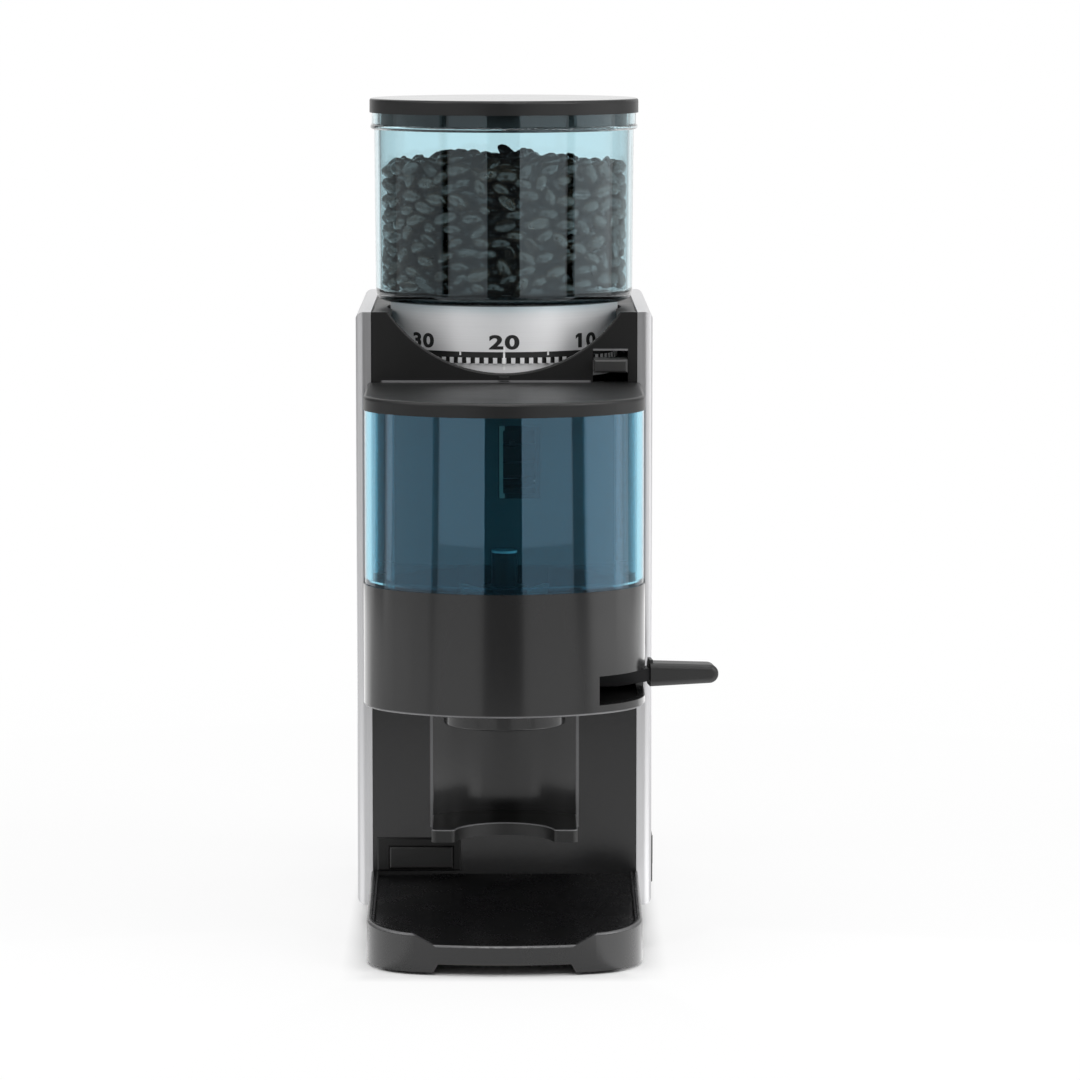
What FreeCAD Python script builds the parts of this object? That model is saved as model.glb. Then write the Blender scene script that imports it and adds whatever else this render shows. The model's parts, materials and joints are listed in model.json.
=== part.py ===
import FreeCAD, Part
import math
import os

# A burr coffee grinder with a doser. Millimetres, +Z up, front towards -Y.
# The origin is on the surface it stands on, under the middle of its depth.

V = FreeCAD.Vector

# Clearances
fit_gap = 0.05            # shafts, pins and screws in their holes
slip_gap = 0.1            # fixed pieces that slip into an opening
body_gap = 0.3            # faces that move past each other
over = 1.0                # how far a cut runs past the face it opens
root = 1.0                # how far a rib or arm runs into what carries it

# Body shell
body_width = 122.4
body_depth = 149.0
body_front_y = -26.5
shell_bottom_z = 9.9
shell_top_z = 257.4
strip_width = 6.3         # width of the folded edge of a side panel
sheet = 1.2
shell_corner_radius = 3.0
front_sheet = 1.5
cover_thickness = 3.0

# Vents and gland on the rear panel
vent_count = 9
vent_width = 60.0
vent_height = 3.0
vent_pitch = 7.0
vent_bottom_z = 70.0
gland_x = -28.0
gland_z = 30.0
gland_radius = 8.0
gland_stem_radius = 6.0
gland_bore_radius = 3.6
gland_flange = 3.0
gland_reach = 5.0
gland_step = 1.0

# Base
base_side_lip = 0.7       # how far the base stands out past the front panel on each side
base_reach = 101.0        # from the front panel to the front of the base
base_bottom_z = 1.2
base_wall = 3.0
rim_edge_radius = 1.1
base_corner_radius = 26.0
base_arc_depth = 30.0
base_back_margin = 3.0
rim_rear_z = 24.4
rim_front_z = 16.2
tray_rear_z = 23.0
tray_front_z = 11.0
rim_low_z = 12.5
rim_low_half = 29.0
rim_slope_run = 9.0
toe_half = 29.0
toe_height = 3.4
toe_slant = 2.5

# Feet
foot_radius = 8.5
foot_height = 4.0
foot_stem_radius = 3.0
foot_boss_radius = 10.0
foot_inset_x = 15.0
foot_front_inset = 30.0
foot_rear_inset = 14.0

# Frame that carries the motor and the grinding chamber
pillar_radius = 4.0
pillar_stud_radius = 2.5
pillar_nut_radius = 4.6
pillar_nut_height = 4.0
pillar_front_x = 36.0
pillar_rear_x = 44.0
pillar_front_setback = 18.5
pillar_rear_setback = 100.5
chassis_bottom_z = 174.0
chassis_thickness = 4.0
chassis_half_width = 53.0
chassis_overhang = 12.0

# Axis of the motor, the burrs and the hopper
axis_setback = 53.0       # behind the front panel
shaft_radius = 6.0

# Motor
motor_radius = 38.5
shield_wall = 3.0
shield_plate = 4.0
stator_bore = 23.0
stator_bottom_z = 74.0
stator_height = 60.0
rotor_gap = 0.5
lower_shield_height = 24.0
bearing_radius = 16.0
bearing_width = 10.0
bearing_boss_wall = 3.0
winding_inner = 24.0
winding_outer = 30.0
winding_height = 13.0
tie_bolt_radius = 2.0
tie_bolt_circle = 33.0
tie_bolt_count = 4
tie_head_radius = 3.5
tie_head_height = 3.0
fan_radius = 29.0
fan_height = 7.0
fan_blade_count = 8
fan_hub_radius = 11.0
fan_blade_inset = 1.0
fan_above_winding = 2.0
fan_disc = 2.0
shaft_thread = 3.0

# Grinding chamber
chamber_radius = 42.0
chamber_bore = 34.0
chamber_floor = 6.0
chamber_height = 51.0
chamber_shaft_hole = 8.0
chamber_screw_circle = 24.0
chamber_screw_count = 4
chamber_screw_start = 45.0
chamber_screw_radius = 2.5
chamber_screw_head = 4.5
chamber_screw_head_height = 3.0
chute_left = -0.5
chute_width = 13.5
chute_drop = 1.5          # below the chamber floor
chute_height = 26.0
chute_wall = 2.0

# Burrs
burr_radius = 25.0
burr_bore = 15.0
burr_thickness = 7.0
burr_gap = 0.4
burr_groove_count = 12
burr_groove_width = 2.2
burr_groove_depth = 1.4
burr_screw_circle = 20.0
burr_screw_count = 3
burr_screw_start = 15.0
burr_screw_bite = 3.5
burr_screw_radius = 1.5
burr_screw_head = 2.8
burr_screw_sink = 2.5
carrier_radius = 32.0
carrier_thickness = 5.7
carrier_hub_radius = 12.0
carrier_lift = 3.3        # above the chamber floor
sweep_count = 2
sweep_width = 4.0
sweep_gap = 0.6
sweep_inset = 1.0

# Grind collar
collar_radius = 47.9
collar_height = 30.0
collar_bore = 42.0
collar_web = 7.7
carrier_flange = 4.0
carrier_flange_radius = 38.0
lip_radius = 46.4
crown_lift = 6.4          # above the underside of the collar
crown_height = 2.4
crown_notch_count = 80
crown_notch_width = 2.0
crown_notch_depth = 1.3
band_height = 2.4
band_depth = 0.4
funnel_top_radius = 26.0

# Bean hopper
hopper_wall = 2.4
hopper_rim_radius = 55.6
hopper_rim_height = 5.0
hopper_bead_radius = 1.1
hopper_bead_proud = 0.6
hopper_bead_drop = 0.9    # below the rim's straight part
hopper_top_radius = 54.6
hopper_low_radius = 54.0
hopper_corner_radius = 4.0
hopper_inner_corner = 2.8
hopper_height = 78.7      # above the collar
throat_radius = 26.0
throat_drop = 21.0
throat_straight = 6.0
hopper_screw_circle = 45.0
hopper_screw_radius = 1.5
hopper_screw_head = 2.8
hopper_screw_head_height = 2.0
hopper_screw_length = 12.0
hopper_screw_count = 3
hopper_screw_start = 30.0

# Hopper lid
lid_radius = 56.5
lid_height = 6.0
lid_edge_radius = 1.2
lid_skirt_depth = 6.0
lid_skirt_wall = 2.0
lid_skirt_gap = 0.5

# Fascia
fascia_bottom_z = 222.0
arc_radius = 57.5
arc_edge_radius = 0.8
arc_bottom_z = 232.0
pointer_half = 2.2
pointer_bottom_z = 228.9
pointer_height = 2.0
pointer_proud = 0.7
pointer_edge_radius = 0.4
collar_well_gap = 1.5

# Lock lever
lock_slot_left = 36.6
lock_slot_width = 14.4
lock_slot_bottom_z = 228.5
lock_slot_height = 13.0
lock_tab_bottom_z = 232.9
lock_tab_height = 5.4
lock_tab_reach = 6.5
lock_tab_depth = 13.0
lock_bar_width = 2.5
lock_bar_lift = 1.0       # above the underside of the tab
lock_bar_thickness = 3.0
lock_tongue_width = 6.0
lock_tongue_reach = 8.0
lock_pivot_setback = 98.5
lock_eye_radius = 3.0
lock_pin_radius = 1.5
lock_ear_width = 3.0
lock_spring_radius = 2.4
lock_spring_wall = 0.8
lock_spring_setback = 71.5
lock_bar_clear = 1.1
lock_eye_overhang = 1.0
lock_cross_width = 3.0
lock_tab_edge = 1.0

# Front panel recess and fork
recess_half = 29.6
recess_edge_radius = 1.2
recess_depth = 11.2
recess_top_z = 102.0
fork_bottom_z = 42.8
fork_thickness = 5.3
fork_half = 29.9
fork_reach = 37.3
fork_notch_radius = 20.6
fork_notch_reach = 19.4   # from the front panel to the back of the notch
fork_tip_radius = 2.0
fork_edge_radius = 0.7
fork_screw_angle = 18.0
fork_screw_length = 9.0

# Push button
button_left = -47.9
button_width = 26.5
button_bottom_z = 25.6
button_height = 9.2
button_proud = 2.2
button_depth = 4.4
button_travel = 2.0
button_edge_radius = 0.8
bezel_left = -53.0
bezel_width = 34.8
bezel_height = 13.8
bezel_proud = 1.2
bezel_sleeve = 1.0
bezel_sleeve_depth = 7.0
switch_depth = 6.0
plunger_radius = 2.3

# Power rocker on the right side panel
rocker_setback = 20.5     # from the front panel to its middle
rocker_length = 19.0
rocker_height = 12.0
rocker_middle_z = 28.0
rocker_tilt = 6.0
rocker_proud = 0.4
rocker_depth = 4.0
rocker_dip = 0.9
rocker_end_gap = 0.8
rocker_pin_radius = 1.0
rocker_frame_wall = 1.6
rocker_frame_lip = 1.8
rocker_frame_edge = 0.4
rocker_frame_proud = 0.6
rocker_frame_depth = 15.0

# Doser shell
doser_reach = 101.0
doser_straight = 58.0
doser_corner_radius = 35.0
lid_half = 56.4
window_half = 56.0
drum_half = 56.6
drum_bottom_z = 103.6
drum_height = 49.2
window_height = 69.8
doser_lid_height = 5.8
doser_lid_edge = 1.4
doser_lid_skirt_depth = 3.0
doser_lid_skirt_wall = 2.0
doser_lid_skirt_length = 38.0
window_wall = 2.6
window_flange_height = 2.0
window_rear_flange = 8.0
drum_wall = 3.0
drum_edge_radius = 0.9
drum_deck = 3.0
drum_bore = 46.5
drum_liner = 2.0
drum_floor_z = 118.8
drum_floor = 3.0
drum_cover = 3.0
outlet_inner = 14.0
outlet_outer = 40.0
outlet_half_angle = 21.0
outlet_wall = 2.0
drum_screw_inset = 9.0
window_screw_reach = 19.3
cover_screw_inset = 8.0
cover_screw_left_reach = 29.0
cover_screw_front_reach = 68.0
cover_screw_front_x = 35.0
cover_boss_radius = 3.6

# Star wheel, its post and the dosing lever
dose_axis_reach = 50.5    # in front of the front panel
vane_count = 8
vane_radius = 45.9
vane_thickness = 2.0
vane_height = 24.0
star_hub_radius = 10.0
star_hub_height = 24.0
ratchet_inner = 12.5
ratchet_outer = 19.0
ratchet_height = 2.0
post_radius = 4.0
post_boss_radius = 7.0
post_boss_drop = 10.8
post_top_z = 160.0
dose_nut_radius = 9.0
dose_nut_height = 4.2
dose_knob_radius = 5.2
dose_knob_top_z = 165.0
lever_rest_angle = 6.0    # behind the +X direction
lever_rest_margin = 1.0
lever_stroke = 45.0
lever_hub_radius = 12.0
lever_bottom_z = 109.2
lever_thickness = 5.0
lever_width = 9.0
lever_slot_bottom_z = 107.2
lever_slot_height = 11.6
lever_slot_front = -46.0
lever_slot_rear = 14.0
arm_bend_step = 1.0
arm_in_grip = 4.5
grip_gap = 1.0            # from the drum at its closest
grip_length = 28.0
grip_width = 13.0
grip_bottom_z = 108.9
grip_height = 9.6
grip_tip_height = 7.6
grip_edge_radius = 2.4
pawl_circle = 16.0
pawl_radius = 2.0
pawl_top_gap = 0.4
pawl_slot_half = 2.6
pawl_slot_margin = 12.0
arm_bend = 46.0
grip_ridge = 1.2
return_spring_outer = 10.0

# Spout
spout_radius = 25.0
spout_wall = 1.6
spout_edge_radius = 0.6
spout_bottom_z = 91.0
spout_flange = 1.4
spout_flange_height = 1.6
spout_reach = 27.0        # in front of the front panel

# Electrical pieces
capacitor_radius = 17.0
capacitor_height = 68.0
capacitor_x = 18.0
capacitor_rear_gap = 3.5
clip_wall = 1.5
clip_height = 12.0
terminal_width = 30.0
terminal_depth = 16.0
terminal_height = 14.0
terminal_x = -24.0
terminal_rear_gap = 14.0
terminal_way_count = 3
terminal_hole_radius = 2.5
terminal_hole_depth = 7.0

# Small screws
panel_screw_radius = 1.5
panel_screw_head = 2.2
panel_screw_head_height = 1.6
panel_screw_length = 5.0
panel_screw_inset = 16.0
panel_screw_row_count = 4
small_screw_radius = 1.5
small_screw_head = 2.6
small_screw_head_height = 1.6
small_screw_length = 6.0

# Places that follow from the sizes above
half_body = body_width / 2
body_back_y = body_front_y + body_depth
inner_half = half_body - strip_width
panel_half = inner_half - slip_gap
base_width = 2 * (panel_half + base_side_lip)
axis_y = body_front_y + axis_setback
rear_lap = strip_width - shell_corner_radius - slip_gap
front_inner_y = body_front_y + front_sheet
rear_inner_y = body_back_y - 2 * sheet
pillar_front_y = body_front_y + pillar_front_setback
pillar_rear_y = body_front_y + pillar_rear_setback
capacitor_y = rear_inner_y - capacitor_rear_gap - clip_wall - fit_gap - capacitor_radius
terminal_y = rear_inner_y - terminal_rear_gap - terminal_depth / 2
top_cover_z = shell_top_z - sheet
top_cover_under_z = top_cover_z - cover_thickness
chassis_top_z = chassis_bottom_z + chassis_thickness
chamber_top_z = chassis_top_z + chamber_height
stator_top_z = stator_bottom_z + stator_height
chamber_floor_z = chassis_top_z + chamber_floor
chute_right = chute_left + chute_width
chute_bottom_z = chamber_floor_z - chute_drop
chute_top_z = chute_bottom_z + chute_height
lower_carrier_z = chamber_floor_z + carrier_lift
lower_burr_z = lower_carrier_z + carrier_thickness
upper_burr_z = lower_burr_z + burr_thickness + burr_gap
carrier_face_z = upper_burr_z + burr_thickness
collar_bottom_z = chamber_top_z + body_gap
collar_top_z = collar_bottom_z + collar_height
crown_bottom_z = collar_bottom_z + crown_lift
web_bottom_z = collar_bottom_z + carrier_flange
web_top_z = web_bottom_z + collar_web
hopper_top_z = collar_top_z + hopper_height
recess_radius = (recess_half ** 2 + recess_depth ** 2) / (2 * recess_depth)
recess_centre_y = body_front_y + recess_depth - recess_radius
fork_top_z = fork_bottom_z + fork_thickness
doser_corner_y = body_front_y - doser_straight
doser_arc_depth = doser_reach - doser_straight
drum_top_z = drum_bottom_z + drum_height
window_top_z = drum_top_z + window_height
doser_lid_top_z = window_top_z + doser_lid_height
dose_axis_y = body_front_y - dose_axis_reach
star_bottom_z = drum_floor_z + drum_floor + body_gap
lever_top_z = lever_bottom_z + lever_thickness
lock_bar_left = collar_radius + lock_bar_clear
lock_bar_right = lock_bar_left + lock_bar_width
lock_bar_z = lock_tab_bottom_z + lock_bar_lift
lock_pivot_y = body_front_y + lock_pivot_setback
lock_pivot_z = lock_bar_z + lock_bar_thickness / 2
base_front_y = body_front_y - base_reach
base_corner_y = base_front_y + base_arc_depth
rocker_y = body_front_y + rocker_setback
bezel_bottom_z = rim_rear_z + slip_gap
window_flange = 2 * (small_screw_head + slip_gap)
corner_offset = math.hypot(drum_half - doser_corner_radius, doser_corner_y - dose_axis_y)
drum_far_radius = corner_offset + doser_corner_radius
grip_inner = drum_far_radius + grip_gap
grip_outer = grip_inner + grip_length
arm_outer = grip_inner + arm_in_grip
to_rear = 90.0            # angle of the +Y direction from +X
spout_y = body_front_y - spout_reach


def box(x0, x1, y0, y1, z0, z1):
    return Part.makeBox(x1 - x0, y1 - y0, z1 - z0, V(x0, y0, z0))


def rod(radius, z0, z1, x=0.0, y=0.0):
    return Part.makeCylinder(radius, z1 - z0, V(x, y, z0))


def ring(outer, inner, z0, z1, x=0.0, y=0.0):
    return rod(outer, z0, z1, x, y).cut(rod(inner, z0, z1, x, y))


def rod_x(radius, x0, x1, y, z):
    return Part.makeCylinder(radius, x1 - x0, V(x0, y, z), V(1, 0, 0))


def rod_y(radius, y0, y1, x, z):
    return Part.makeCylinder(radius, y1 - y0, V(x, y0, z), V(0, 1, 0))


def fused(first, *others):
    return first.fuse(list(others)).removeSplitter()


def cut_all(shape, *tools):
    return shape.cut(list(tools))


def lathe(points, y):
    """Turn a closed outline of (radius, z) points about the upright axis at y."""
    wire = Part.makePolygon([V(r, y, z) for r, z in points + points[:1]])
    return Part.Face(wire).revolve(V(0, y, 0), V(0, 0, 1), 360)


def slab_x(points, x0, x1):
    """Run a closed outline of (y, z) points from x0 to x1."""
    wire = Part.makePolygon([V(x0, y, z) for y, z in points + points[:1]])
    return Part.Face(wire).extrude(V(x1 - x0, 0, 0))


def slab_y(points, y0, y1):
    """Run a closed outline of (x, z) points from y0 to y1."""
    wire = Part.makePolygon([V(x, y0, z) for x, z in points + points[:1]])
    return Part.Face(wire).extrude(V(0, y1 - y0, 0))


def slab_z(points, z0, z1):
    """Run a closed outline of (x, y) points from z0 to z1."""
    wire = Part.makePolygon([V(x, y, z0) for x, y in points + points[:1]])
    return Part.Face(wire).extrude(V(0, 0, z1 - z0))


def turned(shape, angle, x, y):
    """A copy turned about the upright axis through (x, y)."""
    copy = shape.copy()
    copy.rotate(V(x, y, 0), V(0, 0, 1), angle)
    return copy


def around(shape, count, x, y, start=0.0):
    """Copies spread evenly round the upright axis through (x, y)."""
    return [turned(shape, start + 360.0 * i / count, x, y) for i in range(count)]


def sector(inner, outer, angle0, angle1, z0, z1, y):
    """A piece of ring about the upright axis at y, between two angles from +X."""
    piece = Part.makeCylinder(outer, z1 - z0, V(0, y, z0), V(0, 0, 1), angle1 - angle0)
    return turned(piece.cut(rod(inner, z0, z1, 0, y)), angle0, 0, y)


def bowed(half, corner, depth, corner_y, inset, back_y, z0, z1):
    """A prism with straight sides, round corners and a wide bowed front, drawn in by inset."""
    bow = (half ** 2 - 2 * half * corner + depth ** 2) / (2 * (depth - corner))
    bow_y = corner_y - depth + bow
    corner_x = half - corner
    away = V(corner_x, corner_y - bow_y, 0)
    away.normalize()
    middle = away + V(1, 0, 0)
    middle.normalize()
    corner_centre = V(corner_x, corner_y, z0)
    side = V(half - inset, corner_y, z0)
    bend = corner_centre + middle * (corner - inset)
    join = V(0, bow_y, z0) + away * (bow - inset)
    nose = V(0, bow_y - bow + inset, z0)

    def left(p):
        return V(-p.x, p.y, p.z)

    back = V(half - inset, back_y, z0)
    edges = [
        Part.makeLine(back, side),
        Part.Arc(side, bend, join).toShape(),
        Part.Arc(join, nose, left(join)).toShape(),
        Part.Arc(left(join), left(bend), left(side)).toShape(),
        Part.makeLine(left(side), left(back)),
        Part.makeLine(left(back), back),
    ]
    return Part.Face(Part.Wire(edges)).extrude(V(0, 0, z1 - z0))


def doser_prism(half, inset, back_y, z0, z1):
    return bowed(half, doser_corner_radius, doser_arc_depth, doser_corner_y, inset, back_y, z0, z1)


def base_prism(inset, back_y, z0, z1):
    return bowed(base_width / 2, base_corner_radius, base_arc_depth, base_corner_y, inset, back_y, z0, z1)


def recess_segment(grow, z0, z1):
    """The round hollow in the front panel, grown by a wall, behind the panel's front face."""
    whole = rod(recess_radius + grow, z0, z1, 0, recess_centre_y)
    reach = recess_radius + grow
    return whole.common(box(-reach, reach, body_front_y, recess_centre_y + reach, z0, z1))


def edges_on(shape, test):
    return [e for e in shape.Edges if all(test(v.Point) for v in e.Vertexes)]


def near(a, b):
    return abs(a - b) < 1e-6


def hexagon(radius, z0, z1, x, y):
    corners = [(x + radius * math.cos(math.radians(60 * i)), y + radius * math.sin(math.radians(60 * i)))
               for i in range(6)]
    return slab_z(corners, z0, z1)


def mirrored(shape):
    """The same piece on the other side of the middle plane."""
    return shape.mirror(V(0, 0, 0), V(1, 0, 0))


def slope(y, y0, z0, y1, z1):
    return z0 + (z1 - z0) * (y - y0) / (y1 - y0)


def rim_z(y):
    return slope(y, body_front_y, rim_rear_z, base_front_y, rim_front_z)


def tray_z(y):
    return slope(y, body_front_y, tray_rear_z, base_front_y + base_wall, tray_front_z)


def foot_places():
    x = base_width / 2 - foot_inset_x
    front_y = base_front_y + foot_front_inset
    rear_y = body_back_y - base_back_margin - foot_rear_inset
    return [(sx * x, y) for sx in (-1, 1) for y in (front_y, rear_y)]


def pillar_places():
    front = [(sx * pillar_front_x, pillar_front_y) for sx in (-1, 1)]
    return front + [(sx * pillar_rear_x, pillar_rear_y) for sx in (-1, 1)]


def rim_edges(shell, height):
    """The long edges of the tray's rim that lie at a height given for each depth."""
    found = []
    for e in shell.Edges:
        middle = e.valueAt((e.FirstParameter + e.LastParameter) / 2)
        points = [v.Point for v in e.Vertexes] + [middle]
        ahead = middle.y < body_front_y - base_wall and e.Length > 2 * base_wall
        if ahead and all(near(p.z, height(p.y)) for p in points):
            found.append(e)
    return found


# Base and frame

def base():
    back_y = body_back_y - base_back_margin
    top_z = rim_rear_z + base_wall
    ahead_y = base_front_y - base_wall
    block = base_prism(0, back_y, base_bottom_z, top_z)
    over_rim = slab_x([(body_front_y, rim_z(body_front_y)), (ahead_y, rim_z(ahead_y)),
                       (ahead_y, top_z), (body_front_y, top_z)], -base_width, base_width)
    over_deck = box(-base_width, base_width, body_front_y, back_y, shell_bottom_z, top_z)
    over_tray = slab_x([(body_front_y, tray_z(body_front_y)), (ahead_y, tray_z(ahead_y)),
                        (ahead_y, top_z), (body_front_y, top_z)], -base_width, base_width)
    tray = base_prism(base_wall, body_front_y, base_bottom_z, top_z).common(over_tray)
    low_rim = slab_y([(-rim_low_half - rim_slope_run, rim_front_z + over), (-rim_low_half, rim_low_z),
                      (rim_low_half, rim_low_z), (rim_low_half + rim_slope_run, rim_front_z + over)],
                     ahead_y, base_front_y + base_arc_depth / 2)
    riser_y = body_front_y - base_wall
    under_deck = slab_x([(ahead_y, 0), (ahead_y, tray_z(ahead_y) - base_wall),
                         (riser_y, tray_z(riser_y) - base_wall), (riser_y, shell_bottom_z - base_wall),
                         (back_y, shell_bottom_z - base_wall), (back_y, 0)], -base_width, base_width)
    hollow = base_prism(base_wall, back_y - base_wall, base_bottom_z, top_z).common(under_deck)
    toe_top = base_bottom_z + toe_height
    toe = slab_y([(-toe_half, 0), (-toe_half + toe_slant, toe_top), (toe_half - toe_slant, toe_top),
                  (toe_half, 0)], ahead_y, base_front_y + base_arc_depth / 2)
    bosses = [rod(foot_boss_radius, foot_height, top_z, x, y).common(hollow) for x, y in foot_places()]
    stems = [rod(foot_stem_radius + fit_gap, foot_height, foot_stem_top(), x, y) for x, y in foot_places()]
    studs = [rod(pillar_stud_radius + fit_gap, 0, shell_bottom_z, x, y) for x, y in pillar_places()]
    shell = cut_all(block, over_rim, over_deck, tray)
    shell = shell.makeFillet(rim_edge_radius, rim_edges(shell, rim_z))
    shell = shell.cut(low_rim)
    shell = shell.makeFillet(rim_edge_radius, rim_edges(shell, lambda y: rim_low_z))
    shell = cut_all(shell, hollow, toe)
    return cut_all(fused(shell, *bosses), *stems, *studs)


def foot_stem_top():
    return shell_bottom_z - base_wall / 2


def feet():
    return Part.makeCompound([
        fused(rod(foot_radius, 0, foot_height, x, y),
              rod(foot_stem_radius, foot_height, foot_stem_top(), x, y))
        for x, y in foot_places()])


def frame_pillars():
    low = shell_bottom_z - base_wall - pillar_nut_height
    high = chassis_top_z + pillar_nut_height
    return Part.makeCompound([
        fused(rod(pillar_radius, shell_bottom_z, chassis_bottom_z, x, y),
              rod(pillar_stud_radius, low, high, x, y))
        for x, y in pillar_places()])


def pillar_nuts():
    nuts = []
    for x, y in pillar_places():
        for z0 in (shell_bottom_z - base_wall - pillar_nut_height, chassis_top_z):
            nut = hexagon(pillar_nut_radius, z0, z0 + pillar_nut_height, x, y)
            nuts.append(nut.cut(rod(pillar_stud_radius + fit_gap, z0, z0 + pillar_nut_height, x, y)))
    return Part.makeCompound(nuts)


def chamber_screw_holes(z0, z1):
    hole = rod(chamber_screw_radius + fit_gap, z0, z1, chamber_screw_circle, axis_y)
    return around(hole, chamber_screw_count, 0, axis_y, chamber_screw_start)


def chassis_plate():
    plate = box(-chassis_half_width, chassis_half_width, front_inner_y, pillar_rear_y + chassis_overhang,
                chassis_bottom_z, chassis_top_z)
    studs = [rod(pillar_stud_radius + fit_gap, chassis_bottom_z, chassis_top_z, x, y)
             for x, y in pillar_places()]
    shaft_hole = rod(chamber_shaft_hole, chassis_bottom_z, chassis_top_z, 0, axis_y)
    return cut_all(plate, shaft_hole, *studs, *chamber_screw_holes(chassis_bottom_z, chassis_top_z))


# Shell panels

def side_panel():
    """The right side panel, one sheet folded inwards along its four edges."""
    outer = box(inner_half, half_body, body_front_y, body_back_y, shell_bottom_z, shell_top_z)
    outer = outer.makeFillet(shell_corner_radius, edges_on(outer, lambda p: near(p.x, half_body)))
    skin_x = half_body - sheet
    inner = box(inner_half - sheet, skin_x, body_front_y + sheet, body_back_y - sheet,
                shell_bottom_z + sheet, shell_top_z - sheet)
    inner = inner.makeFillet(shell_corner_radius - sheet, edges_on(inner, lambda p: near(p.x, skin_x)))
    holes = [rod_y(panel_screw_radius + fit_gap, body_back_y - sheet, body_back_y, x, z)
             for x, z in panel_screw_places() if x > 0]
    return cut_all(outer, inner, *holes)


def left_side_panel():
    return mirrored(side_panel())


def right_side_panel():
    return side_panel().cut(rocker_box(rocker_frame_wall + slip_gap, half_body - strip_width, half_body))


def panel_screw_places():
    x = inner_half + rear_lap / 2
    low = shell_bottom_z + panel_screw_inset
    high = top_cover_z - panel_screw_inset
    levels = [low + (high - low) * i / (panel_screw_row_count - 1) for i in range(panel_screw_row_count)]
    return [(sx * x, z) for sx in (-1, 1) for z in levels]


def panel_screws():
    return Part.makeCompound([
        fused(rod_y(panel_screw_head, body_back_y, body_back_y + panel_screw_head_height, x, z),
              rod_y(panel_screw_radius, body_back_y - panel_screw_length, body_back_y, x, z))
        for x, z in panel_screw_places()])


def rear_panel():
    half = inner_half + rear_lap
    panel = box(-half, half, rear_inner_y, body_back_y - sheet, shell_bottom_z + sheet + slip_gap,
                top_cover_z)
    vents = [box(-vent_width / 2, vent_width / 2, rear_inner_y, body_back_y,
                 vent_bottom_z + i * vent_pitch, vent_bottom_z + i * vent_pitch + vent_height)
             for i in range(vent_count)]
    screws = [rod_y(panel_screw_radius + fit_gap, rear_inner_y, body_back_y, x, z)
              for x, z in panel_screw_places()]
    gland = rod_y(gland_stem_radius + fit_gap, rear_inner_y, body_back_y, gland_x, gland_z)
    return cut_all(panel, gland, *vents, *screws)


def cable_gland():
    face_y = body_back_y - sheet
    nut_y = rear_inner_y - gland_flange
    cap = rod_y(gland_radius, face_y, face_y + gland_flange, gland_x, gland_z)
    nose = Part.makeCone(gland_radius - gland_step, gland_stem_radius, gland_reach,
                         V(gland_x, face_y + gland_flange, gland_z), V(0, 1, 0))
    stem = rod_y(gland_stem_radius, nut_y - gland_flange, face_y, gland_x, gland_z)
    bore = rod_y(gland_bore_radius, nut_y - gland_flange, face_y + gland_flange + gland_reach, gland_x,
                 gland_z)
    nut = rod_y(gland_radius, nut_y, rear_inner_y, gland_x, gland_z)
    nut = nut.cut(rod_y(gland_stem_radius + fit_gap, nut_y, rear_inner_y, gland_x, gland_z))
    return Part.makeCompound([fused(cap, nose, stem).cut(bore), nut])


def top_cover():
    half = inner_half + rear_lap
    front_y = body_front_y + cover_thickness
    plate = box(-half, half, front_y, rear_inner_y, top_cover_under_z, top_cover_z)
    well_radius = collar_radius + collar_well_gap
    well = rod(well_radius, top_cover_under_z, top_cover_z, 0, axis_y)
    open_half = math.sqrt(arc_radius ** 2 - (arc_bottom_z + arc_radius - top_cover_z) ** 2)
    mouth = box(-open_half, open_half, front_y, axis_y, top_cover_under_z, top_cover_z)
    ears = []
    for x in lock_ear_places():
        ear = box(x, x + lock_ear_width, lock_pivot_y - lock_eye_radius, lock_pivot_y + lock_eye_radius,
                  lock_pivot_z - lock_eye_radius, top_cover_z)
        ears.append(ear)
    pin_hole = rod_x(lock_pin_radius + fit_gap, 0, half, lock_pivot_y, lock_pivot_z)
    return cut_all(fused(cut_all(plate, well, mouth), *ears), pin_hole)


def fascia():
    plate = box(-panel_half, panel_half, body_front_y, body_front_y + cover_thickness, fascia_bottom_z,
                shell_top_z)
    arc = rod_y(arc_radius, body_front_y, body_front_y + cover_thickness, 0, arc_bottom_z + arc_radius)
    slot = box(lock_slot_left, lock_slot_left + lock_slot_width, body_front_y,
               body_front_y + cover_thickness,
               lock_slot_bottom_z, lock_slot_bottom_z + lock_slot_height)
    tip_y = body_front_y - pointer_proud
    pointer = box(-pointer_half, pointer_half, tip_y, body_front_y, pointer_bottom_z,
                  pointer_bottom_z + pointer_height)
    pointer = pointer.makeFillet(pointer_edge_radius, edges_on(pointer, lambda p: near(p.y, tip_y)))
    plate = plate.cut(arc)
    plate = plate.makeFillet(arc_edge_radius, [e for e in plate.Edges if isinstance(e.Curve, Part.Circle)
                                               and near(e.BoundBox.YMax, body_front_y)])
    return fused(plate.cut(slot), pointer)


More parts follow.
